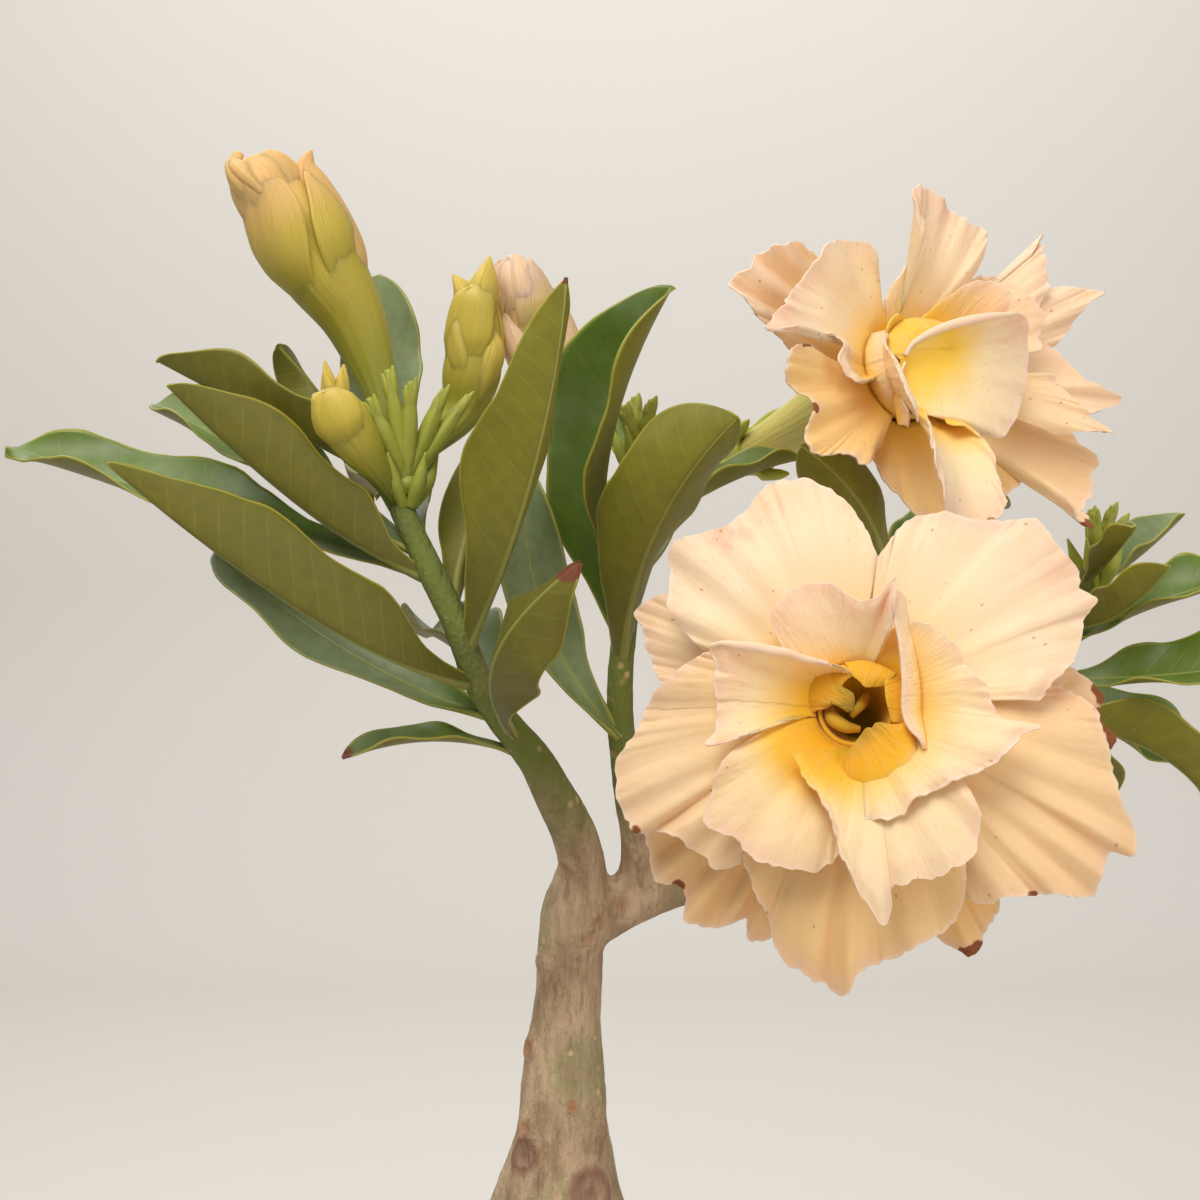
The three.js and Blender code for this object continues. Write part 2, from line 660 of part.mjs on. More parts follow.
function makeLeaf([name, root, tip, bow, face, [width, fold, wave]]) {
  const start = vector(root);
  const end = vector(tip);
  const control = start.clone().add(end).multiplyScalar(0.5).addScaledVector(vector(bow), 2);
  const spine = new THREE.QuadraticBezierCurve3(start, control, end);
  const up = vector(face).normalize();
  let foot = 0;
  while (branchDistance(spine.getPoint(foot)) < LEAF_ROOM) {
    foot += FOOT_STEP;
  }
  const rows = start.distanceTo(end) < SHORT_LEAF ? SHORT_LEAF_ROWS : LEAF_ROWS;
  const pointAt = (rowShare, u) => {
    const t = foot + (1 - foot) * rowShare;
    const tangent = spine.getTangent(t);
    const side = tangent.clone().cross(up).normalize();
    const normal = side.clone().cross(tangent);
    const outline = bladeOutline(t, LEAF_FOOT, LEAF_WIDEST, LEAF_ROUNDNESS);
    const half = Math.max((width / 2) * outline, MIN_HALF_WIDTH);
    const tilt = THREE.MathUtils.degToRad(fold + LEAF_CURL * Math.abs(u));
    const phase = LEAF_PHASES[u > 0 ? 0 : 1];
    const ripple = wave * u * u * Math.sin(2 * Math.PI * LEAF_WAVES * t + phase) * Math.min(1, 3 * t);
    const point = spine.getPoint(t);
    point.addScaledVector(side, u * half * Math.cos(tilt));
    point.addScaledVector(normal, Math.abs(u) * half * Math.sin(tilt) + ripple);
    return point;
  };
  const thicknessAt = (t, u) => {
    const petiole = PETIOLE_SWELL * Math.max(0, 1 - t / PETIOLE);
    return LEAF_MARGIN + LEAF_MIDRIB * (1 - Math.abs(u)) ** 2 + petiole;
  };
  return meshOf("leaf_" + name, sheet(rows, LEAF_COLS, pointAt, thicknessAt), MATERIALS.leaf());
}

// ---------------------------------------------------------------- blooms

// The margin's radius at u, from -1 on the one side to 1 on the other: a smooth curve through the radii.
function marginRadius(radii, u) {
  const points = radii.map((radius, i) => new THREE.Vector2(i, radius));
  return new THREE.SplineCurve(points).getPoint((u + 1) / 2).y;
}

// One lobe in the bloom's own frame, whose +Z runs out of the mouth. It is a fan that starts inside the
// cup's wall, and its height follows its distance from the axis.
function lobeSolid([angle, spread, radii], mouth, height, { rise, tip, reach }) {
  const start = mouth - CUP_WALL / 2;
  const rows = Math.ceil((Math.max(...radii) - start) / LOBE_ROW);
  const cols = 2 * Math.max(radii.length > 3 ? 2 : 1, Math.ceil(spread / LOBE_COLUMN));
  const pointAt = (t, u) => {
    const turn = THREE.MathUtils.degToRad(angle + spread * u);
    const radius = start + (marginRadius(radii, u) - start) * t;
    const share = (radius - start) / (reach - start);
    const climb = rise * share - (rise - tip) * share * share;
    const slant = LOBE_SLANT * radius * Math.sin(THREE.MathUtils.degToRad(spread * u));
    const waves = LOBE_WAVES_ALONG * t + LOBE_WAVES_ACROSS * u;
    const ripple = LOBE_WAVE * t * u * u * Math.sin(2 * Math.PI * waves + angle);
    const z = height - LOBE_SINK + climb + slant + ripple;
    return new THREE.Vector3(radius * Math.cos(turn), radius * Math.sin(turn), z);
  };
  return solidFrom(sheet(rows, cols, pointAt, () => PETAL_THICKNESS));
}

// The cup that a whorl's lobes stand on: a funnel that is open at its mouth and closed at its floor. The
// outermost cup is also the corolla tube.
function cupProfile(order) {
  const mouth = CUP_MOUTH - order * (CUP_WALL + GAP);
  const depth = CUP_DEPTH - order * (CUP_WALL + GAP);
  const height = order * CUP_STEP;
  const floor = mouth * CUP_FLOOR;
  const outside = order === 0 ? TUBE.map(([z, radius]) => [radius, z]) : [[floor, -depth], [mouth, height]];
  return [
    [0, outside[0][1]],
    ...outside,
    [mouth - CUP_WALL, height + CUP_LIP],
    [floor - CUP_WALL / 2, -depth + CUP_WALL],
    [0, -depth + CUP_WALL],
  ];
}

function makeWhorl(bloomName, whorl, order) {
  const mouth = CUP_MOUTH - order * (CUP_WALL + GAP);
  const solids = [solidFrom(turned(cupProfile(order), CUP_SIDES))];
  whorl.lobes.forEach((lobe) => solids.push(lobeSolid(lobe, mouth, order * CUP_STEP, whorl)));
  const solid = largest(joined(solids));
  return meshOf(`bloom_${bloomName}_${whorl.name}`, geometryFrom(solid), MATERIALS.petal());
}

function bloomFrame(bloom) {
  const axis = vector(bloom.axis).normalize();
  const across = new THREE.Vector3(0, 0, 1).cross(axis).normalize();
  const frame = new THREE.Group();
  frame.quaternion.setFromRotationMatrix(
    new THREE.Matrix4().makeBasis(across, axis.clone().cross(across), axis),
  );
  frame.position.copy(vector(bloom.at));
  return frame;
}

const STALK_RADIUS = 2;
const STALK_BEND = 8; // how far behind the tube the stalk has turned into its line
const STALK_WAIST = [0.6, 1.8]; // [share of the way to the bend, radius] where it is thinnest
const CALYX_FOOT = [1.5, 3.6]; // [distance behind the tube, radius]
const CALYX_RADIUS = 4.9;
const CALYX_DEPTH = 3.5; // how far the cup reaches up the tube
const SEPALS = 5;
// A sepal from its foot to its tip: [distance out from the cup's rim, height over the rim, radius]
const SEPAL = [
  [-0.4, -1.5, 1.3],
  [1, 3.25, 1.1],
  [1.8, 6.5, 0.35],
];

// The green cup under a bloom, on a stalk that starts inside the branch, with pointed sepals on its rim.
function makeCalyx(bloomName, bloom, frame, trunkRoom) {
  frame.updateMatrixWorld(true);
  const place = (x, y, z) => new THREE.Vector3(x, y, z).applyMatrix4(frame.matrixWorld);
  const rim = CALYX_DEPTH - TUBE_LENGTH;
  const below = place(0, 0, -TUBE_LENGTH - STALK_BEND);
  const start = vector(bloom.stalk);
  const stalk = [
    [...start.toArray(), STALK_RADIUS],
    [...start.clone().lerp(below, STALK_WAIST[0]).toArray(), STALK_WAIST[1]],
    [...below.toArray(), STALK_RADIUS],
    [...place(0, 0, -TUBE_LENGTH - CALYX_FOOT[0]).toArray(), CALYX_FOOT[1]],
    [...place(0, 0, rim).toArray(), CALYX_RADIUS],
  ];
  const solids = [solidFrom(limb(stalk, { sides: 8, steps: 6 }))];
  for (let i = 0; i < SEPALS; i += 1) {
    const turn = (2 * Math.PI * i) / SEPALS;
    const sepal = SEPAL.map(([out, up, radius]) => {
      const reach = CALYX_RADIUS + out;
      return [...place(reach * Math.cos(turn), reach * Math.sin(turn), rim + up).toArray(), radius];
    });
    solids.push(solidFrom(limb(sepal, { sides: 4, steps: 2 })));
  }
  const room = solidFrom(tubeRoom().applyMatrix4(frame.matrixWorld));
  const calyx = largest(joined(solids).subtract(trunkRoom).subtract(room));
  return meshOf(`calyx_${bloomName}`, geometryFrom(calyx), MATERIALS.stalk());
}

// The corolla tube widened by the gap: the room that its calyx leaves.
function tubeRoom() {
  const [, last] = TUBE[TUBE.length - 1];
  const outside = TUBE.map(([z, radius]) => [radius + GAP, z]);
  const foot = -TUBE_LENGTH - GAP;
  return turned([[0, foot], [TUBE[0][1] + GAP, foot], ...outside, [0, last]], CUP_SIDES);
}

function makeBloom(name, bloom, trunkRoom) {
  const frame = bloomFrame(bloom);
  bloom.whorls.forEach((whorl, order) => frame.add(makeWhorl(name, whorl, order)));
  const group = new THREE.Group();
  group.add(frame, makeCalyx(name, bloom, frame, trunkRoom));
  return group;
}

// ---------------------------------------------------------------- buds

// A petal rolled round a bud, whose tip stands off it.
function budPetal([foot, tip, angle, spread, stand], swirl, reach) {
  const pointAt = (t, u) => {
    const outline = bladeOutline(t, BUD_PETAL_FOOT, BUD_PETAL_WIDEST, BUD_PETAL_ROUNDNESS);
    const wide = BUD_PETAL_LEAST + spread * outline;
    const turn = THREE.MathUtils.degToRad(angle + swirl * t + wide * u);
    const sink = BUD_PETAL_SINK * Math.max(0, 1 - t / BUD_PETAL_ROOT);
    return reach(THREE.MathUtils.lerp(foot, tip, t), turn, BUD_PETAL_LIFT - sink + stand * t * t);
  };
  return solidFrom(sheet(BUD_PETAL_ROWS, BUD_PETAL_COLS, pointAt, () => BUD_PETAL_THICKNESS));
}

function makeBud(name, bud, trunkRoom) {
  const { reach } = limbSurface(bud.path);
  const solids = [solidFrom(limb(bud.path, { sides: BUD_SIDES, steps: BUD_STEPS }))];
  bud.petals.forEach((petal) => solids.push(budPetal(petal, bud.swirl, reach)));
  const solid = largest(joined(solids).subtract(trunkRoom));
  return meshOf(`bud_${name}`, geometryFrom(solid), MATERIALS.bud());
}

function makeCluster(name, cluster, trunkRoom) {
  const solids = [solidFrom(ball(cluster.at, CLUSTER_HEART))];
  const at = vector(cluster.at);
  cluster.tips.forEach((tip) => {
    const middle = at.clone().lerp(vector(tip), SMALL_BUD_WIDEST);
    const places = [cluster.at, middle.toArray(), tip];
    const path = places.map((place, i) => [...place, SMALL_BUD_RADII[i]]);
    solids.push(solidFrom(limb(path, { sides: 5, steps: 3 })));
  });
  const solid = largest(joined(solids).subtract(trunkRoom));
  return meshOf(`bud_cluster_${name}`, geometryFrom(solid), MATERIALS.stalk());
}

// ---------------------------------------------------------------- the whole plant

function makePlant() {
  const plant = new THREE.Group();
  const trunkRoom = trunkSolid(GAP);
  plant.add(makePot());
  plant.add(makeSoil(trunkRoom));
  plant.add(meshOf("trunk", geometryFrom(trunkSolid(0)), MATERIALS.bark()));
  LEAVES.forEach((leaf) => plant.add(makeLeaf(leaf)));
  Object.entries(BLOOMS).forEach(([name, bloom]) => plant.add(makeBloom(name, bloom, trunkRoom)));
  Object.entries(BUDS).forEach(([name, bud]) => plant.add(makeBud(name, bud, trunkRoom)));
  Object.entries(CLUSTERS).forEach(([name, cluster]) => plant.add(makeCluster(name, cluster, trunkRoom)));
  return plant;
}

export default makePlant();
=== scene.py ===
"""The looks of a potted desert rose (adenium) with two double blooms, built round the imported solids.

The tables are in millimetres and repeat the part's own named values. Meshes are made in metres.
"""
import math

import bpy
import numpy as np
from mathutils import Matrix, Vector, noise


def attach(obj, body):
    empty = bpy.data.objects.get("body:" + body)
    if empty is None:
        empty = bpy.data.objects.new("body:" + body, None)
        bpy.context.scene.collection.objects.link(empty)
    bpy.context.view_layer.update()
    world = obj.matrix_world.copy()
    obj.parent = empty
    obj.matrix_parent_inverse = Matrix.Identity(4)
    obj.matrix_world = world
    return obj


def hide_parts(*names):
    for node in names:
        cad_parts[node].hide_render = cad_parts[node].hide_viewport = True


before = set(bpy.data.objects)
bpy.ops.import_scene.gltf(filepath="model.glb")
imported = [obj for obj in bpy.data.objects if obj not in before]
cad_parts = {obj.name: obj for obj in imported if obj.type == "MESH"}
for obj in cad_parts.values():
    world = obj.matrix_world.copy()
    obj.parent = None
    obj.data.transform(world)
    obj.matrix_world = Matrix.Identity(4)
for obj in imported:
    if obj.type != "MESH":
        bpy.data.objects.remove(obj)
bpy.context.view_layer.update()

MM = 0.001
FULL_TURN = 2 * math.pi

# ---------------------------------------------------------------- pot and soil

POT_HEIGHT = 120
POT_TOP_RADIUS = 70
POT_FOOT_RADIUS = 50
POT_WALL = 6
POT_EDGE = 2.0
POT_SIDES = 160
RIM_HEIGHT = 22
RIM_STEP = 3.5
DRAIN_HOLES = 4
DRAIN_RADIUS = 5
DRAIN_RING = 26
DRILL_SIDES = 40
SOIL_TOP = 106
SOIL_SIDES = 180
SOIL_RINGS = 56
SOIL_HEART = 18
# Height of the lumps and how many there are to a millimetre
SOIL_LUMPS = [[0.9, 0.09], [0.6, 0.5]]
GRAINS = 620
GRAIN_SIZES = [0.5, 1.7]
GRAIN_SEED = 11
GAP = 0.3

# ---------------------------------------------------------------- trunk and branches: [x, y, z, radius]

TRUNK = [
    [-4, 2, 46, 13], [-4, 2, 66, 22], [-4, 2, 88, 31], [-4, 2, 104, 35], [-4, 2, 118, 37],
    [-3.5, 1, 132, 35.5], [-3, 1, 146, 30], [-3, 0, 158, 22.5], [-2.5, 0, 168, 16], [-2.3, 0, 178, 12],
    [-1.8, 0, 188, 9.3], [-1.4, 0, 200, 7.4], [-0.8, 0, 212, 6.1], [-0.2, 0, 224, 5.9], [1, 0, 232, 6.2],
    [2, 0, 238, 4.5],
]
BRANCHES = {
    "left": [
        [1, 0, 228, 4.6], [2, -1, 236, 4.4], [0.5, -4, 244, 4.1], [-3, -9, 251.5, 3.7],
        [-6.5, -14, 258.5, 3.2], [-11.5, -19, 265, 2.8], [-16, -23, 272.5, 2.6], [-19, -26, 281, 2.5],
        [-23, -26, 289.5, 2.4], [-26.5, -24, 296.5, 2.3], [-29.5, -21, 303, 2.2], [-31, -18, 308.5, 1.8],
    ],
    "middle": [
        [6, 2, 229, 3.6], [11, 2, 236, 3.2], [11.5, -1, 243, 2.9], [10, -4, 251, 2.6], [9, -8, 260, 2.5],
        [8.5, -11, 269, 2.4], [9, -12, 278, 2.3], [10.5, -11, 288, 2.2], [13, -9, 298, 2.1],
        [15, -6, 307, 2], [16, -4, 313, 1.6],
    ],
    "right": [
        [0, 0, 226, 4.8], [9, 1, 231, 4.6], [18, 5, 234, 4.2], [30, 11, 236, 3.8], [46, 16, 240, 3.4],
        [64, 19, 248, 3], [79, 20, 259.5, 2.7], [88, 19, 272, 2.4], [93.5, 17, 284, 2.1], [96, 16, 292, 1.7],
    ],
    "bloom": [
        [50, 17, 241, 2.6], [56, 17, 250, 2.5], [59, 15, 262, 2.3], [58, 11, 275, 2.1], [57, 7, 286, 1.6],
    ],
}

# Healed cuts and leaf scars on the bark: [x, y, z, radius, darkness]
SCARS = [
    [-6.6, -3.6, 221.5, 1.8, 0.2], [-7.6, -2.6, 206, 1.7, 0.8], [5, -4.6, 209.5, 1.1, 0.8],
    [0.2, -8.2, 196.5, 1.3, 0.9], [6.2, -5.8, 192.3, 1.7, 0.7], [-8, -5.8, 192.2, 1.4, 0.6],
    [-8.6, -6.8, 187.6, 2.9, 1], [4.1, -9.6, 181.5, 4.2, 0.9], [6.5, -17.6, 164, 3.5, 0.8],
    [-17.6, -19, 152, 3.5, 0.7], [-1.4, -5.2, 238, 1.6, 0.2], [3, -5, 226, 1.5, 0.3],
    [-3.6, -6.2, 214, 1, 0.5], [0.6, -6, 222, 1.2, 0.2], [2.4, -5.8, 219.5, 1, 0.5],
    [-0.8, -6.1, 225.5, 1.1, 0.1], [4.6, -4.8, 229, 1.1, 0.6], [8.5, -3.6, 231.5, 1, 0.5],
    [-3.5, -8.2, 243.5, 0.9, 0.7], [0.6, -8.6, 247, 0.9, 0.6], [-8.2, -15.5, 252.5, 1, 0.5],
]
WIDE_SCAR = 2.5
BARK_VOXEL = 0.8
BARK_ROUGHNESS = 0.55
BARK_LUMPS = 0.9
# Heights where the lumps begin and end, and where the young green bark does; and how near a branch is
LUMPY = [225, 150]
YOUNG = [236, 262]
NEAR_TWIG = [2.0, 0.5]

# ---------------------------------------------------------------- leaves

# The leaves of each branch, in the order of their numbers: root, tip, bow, face, [width, fold, wave]
LEAVES = {
    "left": [
        [[-8, -16, 259], [-39, -23, 259], [0, 0, 3], [0, -0.3, 1], [8, 15, 0.4]],
        [[-10, -19.5, 263], [2, -46, 292], [-8, -6, -1], [0.75, 0.5, 0.1], [18, 25, 0.9]],
        [[-14, -20, 266], [-64, -2, 294.5], [0, 2, -4], [0.2, -0.75, 0.6], [20, 20, 0.9]],
        [[-17, -24, 271.5], [-74, -50, 308], [4, -3, -7], [0, 0.35, 1], [24, 58, 0.8]],
        [[-25, -25.5, 290], [-66.5, -36, 321.5], [2, 0, -5], [0.2, 0.3, 1], [20, 58, 0.8]],
        [[-24, -24, 290], [-100, -8, 313], [-4, 0, 1], [0, -0.45, 1], [20, 15, 1.2]],
        [[-25.5, -24.5, 293.5], [-76, 6, 321.5], [-4, 3, 2.5], [-0.1, -0.35, 1], [20, 20, 0.8]],
        [[-30.5, -19.5, 306], [-70.5, -23, 327], [0, -3, 0], [0, 0.2, 1], [16, 45, 0.8]],
        [[-31, -18, 305], [-52, -8, 331], [-2, 4, 3], [-0.7, 0.3, 0.6], [13, 50, 0.5]],
        [[-31, -17.5, 305.5], [-35.5, 8, 345.5], [-1, 6, -3], [0.1, -1, 0.4], [17, 18, 0.7]],
        [[-17.5, -25.5, 277], [-0.5, -47, 338], [3, -5, 0], [-0.6, 0.8, 0.1], [24, 38, 0.9]],
        [[-20, -25.5, 284], [-10, -12, 314], [-2, 4, 2], [-0.2, 1, 0.2], [14, 30, 0.6]],
        [[-26, -24.5, 295], [-38, 26, 306], [0, 2, 5], [0, -0.4, 1], [20, 25, 1]],
        [[-12, -19, 266], [-28, 24, 279], [0, 2, 5], [0, -0.3, 1], [20, 25, 1]],
    ],
    "middle": [
        [[9, -12, 275], [27.5, -40, 316], [-4, -6, 2], [-0.35, 0.9, 0.3], [24, 32, 0.9]],
        [[9, -12, 280], [17, -27, 339], [-7, 1, 0], [-0.72, -0.68, 0.1], [25, 45, 0.9]],
        [[8.5, -10.5, 262], [-8, -23, 309], [-5, 0, -2], [0.1, -1, 0.2], [14, 20, 0.7]],
        [[13, -9, 298], [41, 0, 311.5], [0, 0, 2], [0, -0.2, 1], [10, 30, 0.4]],
        [[14, -7.5, 303], [7, 10, 322], [-1, 2, 0], [0, -0.6, 1], [8, 30, 0.3]],
        [[9.5, -10, 284], [14, 36, 301], [2, 4, 6], [0, -0.3, 1], [21, 25, 1]],
    ],
    "bloom": [
        [[57, 8, 285], [39, -28, 312], [4, -6, 1], [-0.5, 0.8, 0.4], [15, 25, 0.6]],
        [[57.3, 8, 283], [84, 34, 304], [-2, 4, 4], [-0.2, -0.5, 1], [18, 25, 0.9]],
        [[58, 12, 272], [40, 44, 284], [0, 4, 6], [0, -0.3, 1], [20, 25, 1]],
    ],
    "right": [
        [[94.3, 16.8, 286], [117, 30, 302.5], [0, 1, -1], [-0.3, -0.4, 1], [12, 30, 0.5]],
        [[95, 16, 288.5], [100.5, -4, 299], [0, -2, 0], [-0.5, 0.4, 1], [9, 35, 0.4]],
        [[92, 17.3, 281], [106, -6, 292], [0, -2, -3], [-0.3, 0.5, 1], [13, 35, 0.6]],
        [[90, 18.3, 276], [125, 12, 290], [0, -2, 2], [-0.1, -0.5, 1], [15, 20, 0.8]],
        [[87.5, 19, 271], [124, -2, 275], [2, -3, -1], [0, -0.7, 0.8], [16, 20, 0.8]],
        [[85, 19.5, 267], [120, 30, 254], [0, 2, 1], [0.2, -0.7, 0.7], [19, 20, 0.9]],
        [[82, 20, 263], [118, 4, 246], [4, -6, 5], [0.3, 0.5, 0.9], [18, 32, 0.9]],
        [[80, 20, 260.5], [102, 42, 244], [2, 4, 5], [0.2, 0, 1], [20, 25, 0.9]],
    ],
}
LEAF_CURL = 14
LEAF_WAVES = 2.5
LEAF_WAVE_SHARE = 1.4
LEAF_PHASES = [0.6, 2.4]
LEAF_FOOT = 0.14
LEAF_LEAST = 0.25
LEAF_STEM = 0.2
# Where a leaf is widest and how round its tip is, and the leaves with a narrower tip
LEAF_TIP = [0.64, 1.9]
LEAF_TIPS = {"left_11": [0.52, 1.25], "left_04": [0.6, 1.5], "left_06": [0.6, 1.4], "left_02": [0.55, 1.6]}
# Painted shade: how much darker the olive undersides are, for each branch and for single leaves, where they
# lie in shade
LEAF_UNDERSIDE_SHADE = {"left": 0.5, "middle": 0.1, "bloom": 0.0, "right": 0.25, "left_11": 0.15, "left_12": 0.3}
# Leaves whose upper side gets a painted bluish grey reflection of the sky, and how strong it is
LEAF_PAINTED_REFLECTION = {"left_03": 0.55, "left_10": 0.5, "left_12": 0.45, "middle_03": 0.4, "right_01": 0.3}
# Leaves with a dead tip: [t, u, radius in shares of the leaf, strength]
LEAF_DRY = {
    "left_01": [1.0, 0.0, 0.12, 0.6],
    "left_02": [0.99, 0.2, 0.1, 1.0],
    "left_11": [1.0, 0.0, 0.025, 0.8],
}
LEAF_MARGIN = 0.55
LEAF_MIDRIB = 0.5
PETIOLE = 0.15
PETIOLE_SWELL = 1.4
LEAF_ROWS = 64
LEAF_COLS = 24

# ---------------------------------------------------------------- blooms

# at: the middle of the mouth. axis: where it faces. stalk: where its stalk starts. gold_side: the angle where
# the gold of the throat runs out furthest.
BLOOMS = {
    "front": {
        "at": [45, -60, 268.5], "axis": [-0.12, -0.97, 0.2], "stalk": [57.5, 13, 265],
        "gold_side": 210, "crumple": 1, "seed": 100,
    },
    "back": {
        "at": [57, -14, 325], "axis": [0.5, -0.83, 0.24], "stalk": [16, -4, 311],
        "gold_side": 240, "crumple": 1.2, "seed": 1100,
    },
}

# From the outermost whorl to the centre: [name, climb at first, height at the margin, reach, sunk by]
WHORLS = {
    "front": [
        ["outer", 0, -11, 40, 0],
        ["second", 13, -4, 40, 0],
        ["third", 15, 6, 28, 0],
        ["centre", 9, 8, 18, 2.6],
    ],
    "back": [
        ["outer", 3, 7, 40, 0],
        ["second", 14, 11, 36, 0],
        ["third", 26, 14, 30, 0],
        ["centre", 9, 8, 12, 5],
    ],
}
